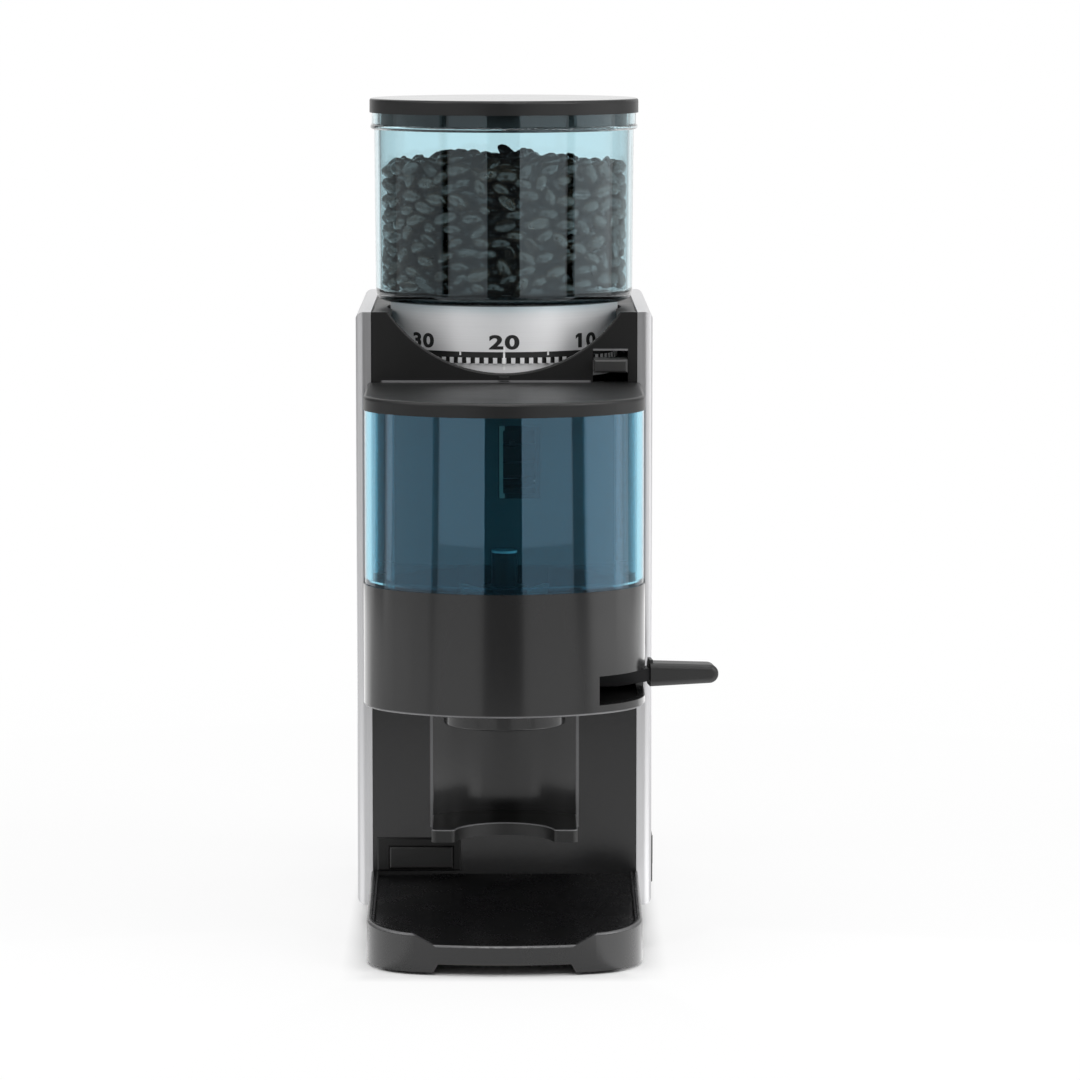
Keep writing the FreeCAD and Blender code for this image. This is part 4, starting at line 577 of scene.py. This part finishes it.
def finishes():
    """All finishes by the record's slot names, made once."""
    if FINISHES:
        return FINISHES
    c = bpy.context.scene.grinder_colours
    dusty = dict(rough=0.75, grain=600.0, depth=0.1, spread=0.4, gloss=0.2)
    handled = dict(rough=0.4, grain=1600.0, gloss=0.4)
    table = {
        "black_moulding": (moulded, c.moulding, dict(rough=0.42, gloss=0.35)),
        "fascia_moulding": (moulded, c.moulding, dict(rough=0.42, gloss=0.33, wear_and_highlight=fascia_highlights)),
        "base_moulding": (moulded, c.base, dict(
            rough=0.26, depth=0.003, spread=0.06, gloss=0.65, wear_and_highlight=base_edge_highlights)),
        "lid_plastic": (moulded, c.lid, dict(
            rough=0.36, grain=1300.0, depth=0.004, gloss=0.33, polished=lid_top)),
        "drum_plastic": (moulded, c.drum, dict(
            rough=0.16, grain=1700.0, depth=0.004, spread=0.1, wear_and_highlight=drum_lip_highlight)),
        "tinted_clear": (tinted, c.hopper, dict(sheen=(0.86, 0.94, 1.0), ior=1.5, foot=HOPPER_FOOT)),
        "window_clear": (tinted, c.window, dict(sheen=(0.52, 0.72, 0.92), ior=1.78, clear=0.994)),
        "front_paint": (painted, c.front, dict(rough=0.16, wear_and_highlight=recess_edge_highlights, painted_glow=doser_glow)),
        "fork_paint": (painted, c.fork, dict(rough=0.4, wear_and_highlight=fork_edge_wear_and_highlights)),
        "rear_paint": (painted, c.rear, {}),
        "stainless_sheet": (brushed, c.stainless, {}),
        "collar_aluminium": (dial, c.collar, dict(ink=c.ink)),
        "cast_aluminium": (cast, c.cast, {}),
        "burr_steel": (ground, shade(c.steel, 0.9), dict(dust=c.dust)),
        "plated_steel": (plated, c.steel, {}),
        "coffee_dusted": (moulded, c.dust, dusty),
        # The chute casting, with the lit side of its mouth painted tan: painted light.
        "chute_casting": (moulded, c.dust, dict(dusty, wear_and_highlight=chute_lit_side, highlight_colour=LIT_SIDE_TAN)),
        "black_steel": (plated, c.black_steel, dict(rough=0.4)),
        # The knob's top in light steel: a painted highlight, and wear.
        "worn_knob": (worn_and_highlit, c.black_steel, dict(highlight_colour=c.steel, edge_z=KNOB_TOP - 0.8 * MM)),
        "motor_iron": (layered, c.iron, dict(pitch=0.5 * MM, rough=0.45, metallic=0.9)),
        "copper_winding": (layered, c.copper, dict(pitch=0.7 * MM, rough=0.35, metallic=0.8)),
        "control_plastic": (moulded, c.control, handled),
        # The lock tab, 2.4 times lighter than the controls: painted light on its lit face.
        "tab_plastic": (moulded, shade(c.control, 2.4), handled),
        "star_plastic": (moulded, c.star, dict(rough=0.4, grain=900.0)),
        "foot_rubber": (rubbery, c.rubber, {}),
        "beans": (roasted, c.bean_dark, dict(light=c.bean_light)),
        "ink": (moulded, c.ink, dict(rough=0.4, grain=2000.0, depth=0.01)),
    }
    for name, (maker, base, options) in table.items():
        FINISHES[name] = maker(name, base, **options)
    return FINISHES


OWN_FINISH = {
    "base": "base_moulding",
    "fascia": "fascia_moulding",
    "doser_window": "window_clear",
    "dose_nut": "worn_knob",
    "hopper_screws": "black_steel",
    "lock_tab": "tab_plastic",
    "grinding_chamber": "chute_casting",
    **dict.fromkeys(("lower_burr_carrier", "upper_burr_carrier"), "coffee_dusted"),
}


# Pieces


def into_scene(bm, name, material, body, smooth=35.0):
    """Turns a bmesh into a piece that rides on a body."""
    mesh = bpy.data.meshes.new(name)
    bm.to_mesh(mesh)
    bm.free()
    mesh.materials.append(material)
    mesh.polygons.foreach_set("use_smooth", [True] * len(mesh.polygons))
    mesh.set_sharp_from_angle(angle=math.radians(smooth))
    piece = bpy.data.objects.new(name, mesh)
    bpy.context.scene.collection.objects.link(piece)
    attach(piece, body)
    return piece


def only(made, kind):
    """The new vertices, edges or faces of a bmesh operator's result."""
    return [item for item in made["geom"] if isinstance(item, kind)]


def dress(*names):
    """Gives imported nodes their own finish, or that of their slot."""
    for name in names:
        for place in NODES[name].material_slots:
            place.material = finishes()[OWN_FINISH.get(name, SLOT_OF[name])]


class GRINDER_OT_shells(bpy.types.Operator):
    """Finishes the mouldings, the painted panels and the lids"""

    bl_idname = "grinder.shells"
    bl_label = "Shells"

    def execute(self, context):
        dress("base", "fascia", "top_cover", "front_panel", "rear_panel", "portafilter_fork", "feet")
        dress("cable_gland", "doser_drum", "dose_spout", "doser_bottom_cover", "hopper_lid", "doser_lid")
        return {"FINISHED"}


class GRINDER_OT_side_panels(bpy.types.Operator):
    """Brushes the stainless side panels"""

    bl_idname = "grinder.side_panels"
    bl_label = "Side panels"

    def execute(self, context):
        dress("left_side_panel", "right_side_panel")
        return {"FINISHED"}


class GRINDER_OT_clear_plastic(bpy.types.Operator):
    """Tints the bean hopper and the doser window"""

    bl_idname = "grinder.clear_plastic"
    bl_label = "Clear plastic"

    def execute(self, context):
        dress("bean_hopper", "doser_window")
        return {"FINISHED"}


class GRINDER_OT_dial(bpy.types.Operator):
    """Finishes the grind collar and prints the numbers round it"""

    bl_idname = "grinder.dial"
    bl_label = "Dial"

    def execute(self, context):
        sizes = context.scene.grinder_sizes
        dress("grind_collar")
        for index in range(DIAL_DIVISIONS // DIAL_STEP):
            turn = 2 * math.pi * (index * DIAL_STEP - DIAL_FRONT) / DIAL_DIVISIONS
            self.number(str(index * DIAL_STEP), -turn, sizes)
        return {"FINISHED"}

    def number(self, digits, turn, sizes):
        """One number, bent round the collar at an angle from the front."""
        text = bpy.data.curves.new("number", "FONT")
        text.body = digits
        text.align_x = "CENTER"
        text.size = sizes.digit_height / FONT_DIGIT
        text.space_character = DIGIT_SPACING
        text.offset = DIGIT_WEIGHT
        text.resolution_u = 6
        holder = bpy.data.objects.new("number", text)
        bpy.context.scene.collection.objects.link(holder)
        bpy.context.view_layer.update()
        ready = holder.evaluated_get(bpy.context.evaluated_depsgraph_get())
        flat = bpy.data.meshes.new_from_object(ready)
        bpy.data.objects.remove(holder)
        bm = bmesh.new()
        bm.from_mesh(flat)
        bpy.data.meshes.remove(flat)
        bmesh.ops.remove_doubles(bm, verts=bm.verts, dist=0.001 * MM)
        if digits.startswith("1"):
            self.flag(bm, sizes.digit_height)
        bmesh.ops.scale(bm, vec=(sizes.digit_width, 1.0, 1.0), verts=bm.verts)
        for step in range(-CUTS_EACH_SIDE, CUTS_EACH_SIDE + 1):
            geom = bm.verts[:] + bm.edges[:] + bm.faces[:]
            bmesh.ops.bisect_plane(bm, geom=geom, plane_co=(step * CUT_PITCH, 0, 0), plane_no=(1, 0, 0))
        radius = COLLAR_RADIUS + INK_GAP
        for vert in bm.verts:
            around, up = turn + vert.co.x / radius, sizes.digit_base + vert.co.y
            vert.co = (radius * math.sin(around), AXIS_Y - radius * math.cos(around), up)
        raised = bmesh.ops.extrude_face_region(bm, geom=bm.faces[:])
        for vert in only(raised, bmesh.types.BMVert):
            vert.co += Vector((vert.co.x, vert.co.y - AXIS_Y, 0.0)).normalized() * sizes.ink
        bmesh.ops.recalc_face_normals(bm, faces=bm.faces)
        into_scene(bm, "dial_number_" + digits, finishes()["ink"], "grind_adjuster")

    def flag(self, bm, height):
        """Gives the plain bar of a leading 1 its slanting flag."""
        bar = min(bm.faces, key=lambda face: face.calc_center_median().x)
        side = min(bar.edges, key=lambda edge: edge.verts[0].co.x + edge.verts[1].co.x)
        top = max(side.verts, key=lambda vert: vert.co.y)
        upper, _ = bmesh.utils.edge_split(side, top, FLAG_START)
        ends = only(bmesh.ops.extrude_edge_only(bm, edges=[upper]), bmesh.types.BMVert)
        bmesh.ops.translate(bm, vec=(-FLAG_OUT * height, -FLAG_DROP * height, 0), verts=ends)


class GRINDER_OT_beans(bpy.types.Operator):
    """Fills the hopper with roasted beans"""

    bl_idname = "grinder.beans"
    bl_label = "Beans"

    def execute(self, context):
        sizes = context.scene.grinder_sizes
        draw = random.Random(sizes.seed)
        bean = self.one_bean(sizes)
        bm = bmesh.new()
        shade_layer = bm.verts.layers.float.new("bean_shade")

        def wall(z):
            """How far from the axis the beans may reach at a height."""
            share = (z - HOPPER_LOW.z) / (HOPPER_HIGH.z - HOPPER_LOW.z)
            return BEAN_WALL_FOOT + (BEAN_WALL_TOP - BEAN_WALL_FOOT) * share

        def heap(x, y):
            """How high the heap stands at a place."""
            share = min(1.0, math.hypot(x, y) / BEAN_WALL_TOP)
            slope = (sizes.heap_side - sizes.heap_middle) * share ** HEAP_ROUNDNESS
            off = (x - MOUND_X) ** 2 + (y - MOUND_Y) ** 2
            mound = MOUND_HEIGHT * math.exp(-off / MOUND_RADIUS ** 2)
            ripple = RIPPLE_HEIGHT * math.sin(x / RIPPLE_X + RIPPLE_START) * math.cos(y / RIPPLE_Y)
            return sizes.heap_middle + slope + mound + ripple

        def put(middle, out, turn):
            """Lays a bean with its back to a direction and its length turned about it."""
            across = Vector((0, 0, 1)).cross(out)
            across = across.normalized() if across.length > 0.01 else Vector((1, 0, 0))
            up = out.cross(across)
            along = across * math.cos(turn) + up * math.sin(turn)
            side = out.cross(along)
            face = 1 if draw.random() < BACKS_OUT else -1
            basis = Matrix((along, side * face, out * face)).transposed().to_4x4()
            scale = Matrix.Scale(draw.uniform(*BEAN_SCALES), 4)
            matrix = Matrix.Translation(AXIS + middle) @ basis @ scale
            first = len(bm.verts)
            bm.from_mesh(bean)
            bm.verts.ensure_lookup_table()
            new = bm.verts[first:]
            bmesh.ops.transform(bm, matrix=matrix, verts=new)
            tone = draw.random()
            for vert in new:
                vert[shade_layer] = tone
            return new

        def scatter(count, spread, near, rise):
            """Random places that keep their distance, with less of it upwards."""
            kept = []
            for _ in range(count):
                place = spread()
                spaced = Vector((place.x, place.y, place.z * rise))
                if all((spaced - other).length > near for other, _ in kept):
                    kept.append((spaced, place))
            return [place for _, place in kept]

        def on_wall(inset):
            """A place along the wall, at a distance from it."""
            around = draw.uniform(-math.pi, math.pi)
            z = draw.uniform(BEAN_FLOOR + FIRST_ROW, sizes.heap_side + LAST_ROW - inset * 0.3)
            reach = wall(z) - inset - sizes.bean_depth * 0.55
            return Vector((reach * math.sin(around), -reach * math.cos(around), z))

        def on_top():
            """A place in the top of the heap."""
            around, out = draw.uniform(-math.pi, math.pi), TOP_RADIUS * math.sqrt(draw.random())
            x, y = out * math.sin(around), out * math.cos(around)
            return Vector((x, y, heap(x, y) - draw.uniform(0.0, SINK)))

        for inset, spacing, tries in BEAN_LAYERS:
            near = sizes.bean_pitch * spacing
            for place in scatter(tries, lambda: on_wall(inset), near, sizes.bean_rise):
                out = Vector((place.x, place.y, 0)).normalized()
                tilt = Vector([draw.gauss(0, WALL_TILT) for _ in range(3)])
                new = put(place, (out + tilt).normalized(), draw.gauss(0, WALL_TURN))
                reach = max(math.hypot(vert.co.x, vert.co.y - AXIS_Y) for vert in new)
                room = wall(place.z) - inset - BEAN_CLEARANCE - reach
                bmesh.ops.translate(bm, vec=out * room, verts=new)
                low = min(vert.co.z for vert in new)
                if low < BEAN_FLOOR:
                    bmesh.ops.translate(bm, vec=(0, 0, BEAN_FLOOR - low), verts=new)
        for place in scatter(TOP_TRIES, on_top, sizes.bean_pitch * TOP_SPACING, 1.0):
            tilt = Vector((draw.gauss(0, TOP_TILT), draw.gauss(0, TOP_TILT), 1.0)).normalized()
            put(place, tilt, draw.uniform(0, math.pi))
        bpy.data.meshes.remove(bean)
        into_scene(bm, "coffee_beans", finishes()["beans"], "grind_adjuster", smooth=60.0)
        self.core(sizes)
        return {"FINISHED"}

    def one_bean(self, sizes):
        """A bean with a round back and a flat face with a crease."""
        bm = bmesh.new()
        bmesh.ops.create_uvsphere(bm, u_segments=8, v_segments=7, radius=0.5)
        bmesh.ops.rotate(bm, matrix=Matrix.Rotation(math.pi / 2, 3, "Y"), verts=bm.verts)
        for vert in bm.verts:
            if vert.co.z < 0.0:
                vert.co.z *= FACE_FLATNESS
                if abs(vert.co.y) < CREASE_WIDTH and abs(vert.co.x) < CREASE_REACH:
                    vert.co.z += CREASE_DEPTH
        size = (sizes.bean_length, sizes.bean_width, sizes.bean_depth * BEAN_SWELL)
        bmesh.ops.scale(bm, vec=size, verts=bm.verts)
        mesh = bpy.data.meshes.new("bean")
        bm.to_mesh(mesh)
        bm.free()
        return mesh

    def core(self, sizes):
        """The dark heart of the heap, which closes the gaps between the beans."""
        bm = bmesh.new()
        bmesh.ops.create_circle(bm, cap_ends=True, radius=CORE_RADIUS, segments=48)
        bmesh.ops.translate(bm, vec=(0, 0, BEAN_FLOOR + 0.5 * MM), verts=bm.verts)
        rim = bmesh.ops.extrude_face_region(bm, geom=bm.faces[:])
        rise = (0, 0, sizes.heap_side - BEAN_FLOOR - CORE_DEPTH)
        bmesh.ops.translate(bm, vec=rise, verts=only(rim, bmesh.types.BMVert))
        bmesh.ops.poke(bm, faces=only(rim, bmesh.types.BMFace), offset=CORE_DEPTH)
        bmesh.ops.create_cone(
            bm, cap_ends=True, segments=64, radius1=48 * MM, radius2=51 * MM, depth=1.6 * MM,
            matrix=Matrix.Translation((0, 0, BEAN_FLOOR - 1.0 * MM)))
        bmesh.ops.translate(bm, vec=AXIS, verts=bm.verts)
        bmesh.ops.recalc_face_normals(bm, faces=bm.faces)
        into_scene(bm, "bean_heap_core", finishes()["beans"], "grind_adjuster", smooth=60.0)


class GRINDER_OT_controls(bpy.types.Operator):
    """Finishes the button, the rocker, the lock tab and the dosing lever"""

    bl_idname = "grinder.controls"
    bl_label = "Controls"

    def execute(self, context):
        dress("push_button", "power_rocker", "lock_tab", "lever_grip", "button_bezel", "rocker_frame")
        return {"FINISHED"}


class GRINDER_OT_works(bpy.types.Operator):
    """Finishes the motor, the burrs and all that is inside"""

    bl_idname = "grinder.works"
    bl_label = "Works"

    def execute(self, context):
        dress(*NODES)
        return {"FINISHED"}


# Stage

# Lamps: name, place and size in metres, the setting for their power and their share of it.
LAMPS = (
    ("side_lamp_left", (-1.7, -0.9, 1.3), (1.0, 1.3), "lamp_power", 0.8),
    ("side_lamp_right", (1.7, -0.9, 1.3), (1.0, 1.3), "lamp_power", 1.3),
    ("front_lamp", (0.0, -1.9, 1.7), (1.0, 0.6), "top_power", 1.0),
    ("top_lamp", (0.0, 0.0, 1.9), (1.4, 1.4), "top_power", 1.0),
)
LAMP_AIM = Vector((0.0, 0.0, 0.18))
FLOOR_HALF, FLOOR_SOFT = 6.0, 0.01
GLOW_NEAR, GLOW_FAR = 0.15, 0.75
CARD_REACH, CARD_HEIGHT, CARD_LIFT = 2.75, 2.1, 0.001
# Upright cards: name, both ends in degrees from the front, brightness.
WALL_CARDS = (
    ("front_card", -15.0, 14.0, 0.05),
    ("right_dark_card", 58.0, 66.0, 0.0),
    ("right_white_card", 66.0, 112.0, 1.2),
    ("right_back_card", 112.0, 150.0, 0.5),
    ("left_pale_card", -51.0, -15.0, 0.68),
    ("left_dark_card", -57.5, -51.0, 0.0),
    ("left_grey_card", -112.0, -57.5, 0.45),
    ("left_back_card", -150.0, -112.0, 0.2),
)
# Cards on the floor: name, both ends in degrees, near and far reach in metres, brightness.
FLOOR_CARDS = (
    ("front_floor_card", -13.0, 11.6, 0.72, CARD_REACH, 0.03),
    ("right_dark_floor_card", 46.5, 55.5, 1.2, CARD_REACH, 0.2),
    ("right_soft_floor_card", 48.0, 54.0, 0.6, 1.2, 0.7),
    ("right_white_floor_card", 57.0, 82.0, 1.15, CARD_REACH, 1.55),
    ("right_streak_floor_card", 82.0, 93.0, 1.15, CARD_REACH, 2.1),
    ("right_mid_floor_card", 93.0, 105.0, 1.15, CARD_REACH, 1.5),
    ("right_shade_floor_card", 105.0, 122.0, 1.15, CARD_REACH, 0.65),
    ("right_rim_floor_card", 122.0, 172.0, 1.15, CARD_REACH, 1.15),
    ("right_bright_floor_card", 57.0, 125.0, 0.85, 1.15, 2.2),
    ("right_edge_floor_card", 125.0, 172.0, 0.55, 1.12, 1.8),
    ("right_pale_floor_card", 11.6, 46.5, 1.2, 1.58, 0.7),
    ("right_near_floor_card", 22.0, 75.0, 0.09, 0.36, 2.0),
    ("left_dark_floor_card", -49.0, -44.5, 1.2, CARD_REACH, 0.25),
    ("left_soft_floor_card", -48.0, -45.0, 0.6, 1.2, 0.7),
    ("left_grey_floor_card", -85.0, -49.0, 1.3, CARD_REACH, 0.8),
    ("left_streak_floor_card", -92.0, -85.0, 1.3, CARD_REACH, 1.5),
    ("left_shade_floor_card", -117.0, -95.0, 1.15, CARD_REACH, 0.36),
    ("left_rim_floor_card", -172.0, -117.0, 1.15, CARD_REACH, 1.1),
    ("left_bright_floor_card", -125.0, -62.0, 0.8, 1.15, 1.25),
    ("left_edge_floor_card", -172.0, -125.0, 0.55, 1.12, 1.8),
    ("left_pale_floor_card", -44.5, -13.0, 1.2, 1.58, 0.7),
    ("left_near_floor_card", -75.0, -24.0, 0.09, 0.36, 1.5),
)


class GRINDER_OT_stage(bpy.types.Operator):
    """Sets up the camera, the lamps, the world, the floor and the cards that the part mirrors"""

    bl_idname = "grinder.stage"
    bl_label = "Stage"

    def execute(self, context):
        stage = context.scene.grinder_stage
        context.scene.view_settings.view_transform = "Standard"
        self.camera(context, stage)
        self.world(context, stage)
        self.floor(stage)
        for name, place, size, setting, share in LAMPS:
            self.lamp(name, place, size, getattr(stage, setting) * share)
        for name, start, end, level in WALL_CARDS:
            self.card(name, start, end, ((CARD_REACH, 0.0), (CARD_REACH, CARD_HEIGHT)), level)
        for name, start, end, near, far, level in FLOOR_CARDS:
            self.card(name, start, end, ((near, CARD_LIFT), (far, CARD_LIFT)), level)
        return {"FINISHED"}

    def camera(self, context, stage):
        """The camera at the photo's viewing angle."""
        data = bpy.data.cameras.new("camera")
        data.lens = stage.lens
        data.sensor_width = 36.0
        data.clip_end = 50.0
        camera = bpy.data.objects.new("camera", data)
        camera.location = stage.camera_place
        camera.rotation_euler = (math.pi / 2 - stage.camera_pitch, 0.0, -stage.camera_turn)
        context.scene.collection.objects.link(camera)
        context.scene.camera = camera

    def seen(self, tree):
        """1 for rays that show the background: camera, mirror and see-through rays, at first sight."""
        def maths(operation, first, second):
            made = tree.nodes.new("ShaderNodeMath")
            made.operation = operation
            tree.links.new(first, made.inputs[0])
            if isinstance(second, bpy.types.NodeSocket):
                tree.links.new(second, made.inputs[1])
            else:
                made.inputs[1].default_value = second
            return made.outputs[0]

        path = tree.nodes.new("ShaderNodeLightPath").outputs
        shown = maths("MAXIMUM", path["Is Camera Ray"], path["Is Glossy Ray"])
        shown = maths("MAXIMUM", shown, path["Is Transmission Ray"])
        return maths("MULTIPLY", shown, maths("LESS_THAN", path["Diffuse Depth"], 0.5))

    def world(self, context, stage):
        """A white background that shines less on the part than it shows."""
        world = bpy.data.worlds.new("studio")
        world.use_nodes = True
        tree = world.node_tree
        back = tree.nodes["Background"]
        back.inputs["Color"].default_value = WHITE
        level = tree.nodes.new("ShaderNodeMapRange")
        tree.links.new(self.seen(tree), level.inputs[0])
        level.inputs[3].default_value = stage.ambient
        level.inputs[4].default_value = 1.0
        tree.links.new(level.outputs[0], back.inputs["Strength"])
        context.scene.world = world

    def floor(self, stage):
        """A pale floor that fades to white and keeps the part's shadow."""
        bm = bmesh.new()
        bmesh.ops.create_grid(bm, x_segments=1, y_segments=1, size=FLOOR_HALF)
        look = Finish("pale_floor").plain(Base_Color=(0.9, 0.9, 0.9), Roughness=0.8)
        glow = look.node("Emission", Color=WHITE, Strength=1.0)
        away = look.node("VectorMath", {"operation": "LENGTH"}, i0=look.coords).outputs["Value"]
        glow_share = look.span(away, stage.floor_glow, 1.0, GLOW_NEAR, GLOW_FAR)
        under = look.maths(
            "MULTIPLY", look.band(look.place("X"), BASE_LOW.x, BASE_HIGH.x, FLOOR_SOFT),
            look.band(look.place("Y"), BASE_LOW.y, BASE_HIGH.y, FLOOR_SOFT))
        glow_share = look.maths("MULTIPLY", glow_share, look.maths("SUBTRACT", 1.0, under))
        share = look.maths("MULTIPLY", self.seen(look.tree), glow_share)
        both = look.node("MixShader", i0=share, i1=look.shader.outputs[0], i2=glow.outputs[0])
        look.feed(look.tree.nodes["Material Output"], "Surface", both.outputs[0])
        self.prop(bm, "floor", look.material)

    def lamp(self, name, place, size, power):
        """A soft lamp that aims at the middle of the part."""
        data = bpy.data.lights.new(name, "AREA")
        data.shape = "RECTANGLE"
        data.size, data.size_y = size
        data.energy = power
        lamp = bpy.data.objects.new(name, data)
        lamp.location = place
        lamp.rotation_euler = (LAMP_AIM - Vector(place)).to_track_quat("-Z", "Y").to_euler()
        lamp.visible_camera = lamp.visible_transmission = False
        bpy.context.scene.collection.objects.link(lamp)

    def prop(self, bm, name, material):
        """Turns a bmesh into a piece of the studio."""
        mesh = bpy.data.meshes.new(name)
        bm.to_mesh(mesh)
        bm.free()
        mesh.materials.append(material)
        made = bpy.data.objects.new(name, mesh)
        bpy.context.scene.collection.objects.link(made)
        return made

    def card(self, name, start, end, edge, level):
        """An even light for mirrors alone: an edge, by reach and height, swept round the front."""
        bm = bmesh.new()
        begin = math.radians(start)
        ends = [bm.verts.new((reach * math.sin(begin), -reach * math.cos(begin), z)) for reach, z in edge]
        bmesh.ops.spin(
            bm, geom=[*ends, bm.edges.new(ends)], axis=(0, 0, 1), cent=(0, 0, 0),
            angle=math.radians(end - start), steps=8)
        shine = Finish(name).plain(
            Base_Color=(0, 0, 0), Specular_IOR_Level=0.0, Emission_Color=WHITE, Emission_Strength=level)
        made = self.prop(bm, name, shine.material)
        made.visible_camera = made.visible_diffuse = made.visible_shadow = False


class GRINDER_PT_panel(bpy.types.Panel):
    """The grinder's sizes, colours and steps"""

    bl_idname = "GRINDER_PT_panel"
    bl_label = "Grinder"
    bl_space_type = "VIEW_3D"
    bl_region_type = "UI"
    bl_category = "Grinder"

    def draw(self, context):
        layout, scene = self.layout, context.scene
        for group in (scene.grinder_sizes, scene.grinder_colours, scene.grinder_stage):
            box = layout.box()
            for key in group.bl_rna.properties.keys():
                if key not in ("name", "rna_type"):
                    box.prop(group, key)
        for step in STEPS:
            layout.operator(step.bl_idname)


STEPS = (
    GRINDER_OT_shells, GRINDER_OT_side_panels, GRINDER_OT_clear_plastic, GRINDER_OT_dial, GRINDER_OT_beans,
    GRINDER_OT_controls, GRINDER_OT_works, GRINDER_OT_stage)
CLASSES = (GrinderSizes, GrinderColours, GrinderStage, *STEPS, GRINDER_PT_panel)


def register():
    """Makes the classes known and hangs the settings on the scene."""
    for item in CLASSES:
        bpy.utils.register_class(item)
    bpy.types.Scene.grinder_sizes = PointerProperty(type=GrinderSizes)
    bpy.types.Scene.grinder_colours = PointerProperty(type=GrinderColours)
    bpy.types.Scene.grinder_stage = PointerProperty(type=GrinderStage)


def unregister():
    """Takes the settings and the classes away again."""
    del bpy.types.Scene.grinder_sizes, bpy.types.Scene.grinder_colours, bpy.types.Scene.grinder_stage
    for item in reversed(CLASSES):
        bpy.utils.unregister_class(item)


def main():
    """Dresses the part step by step."""
    register()
    for step in STEPS:
        group, name = step.bl_idname.split(".")
        getattr(getattr(bpy.ops, group), name)()


if __name__ == "__main__":
    main()
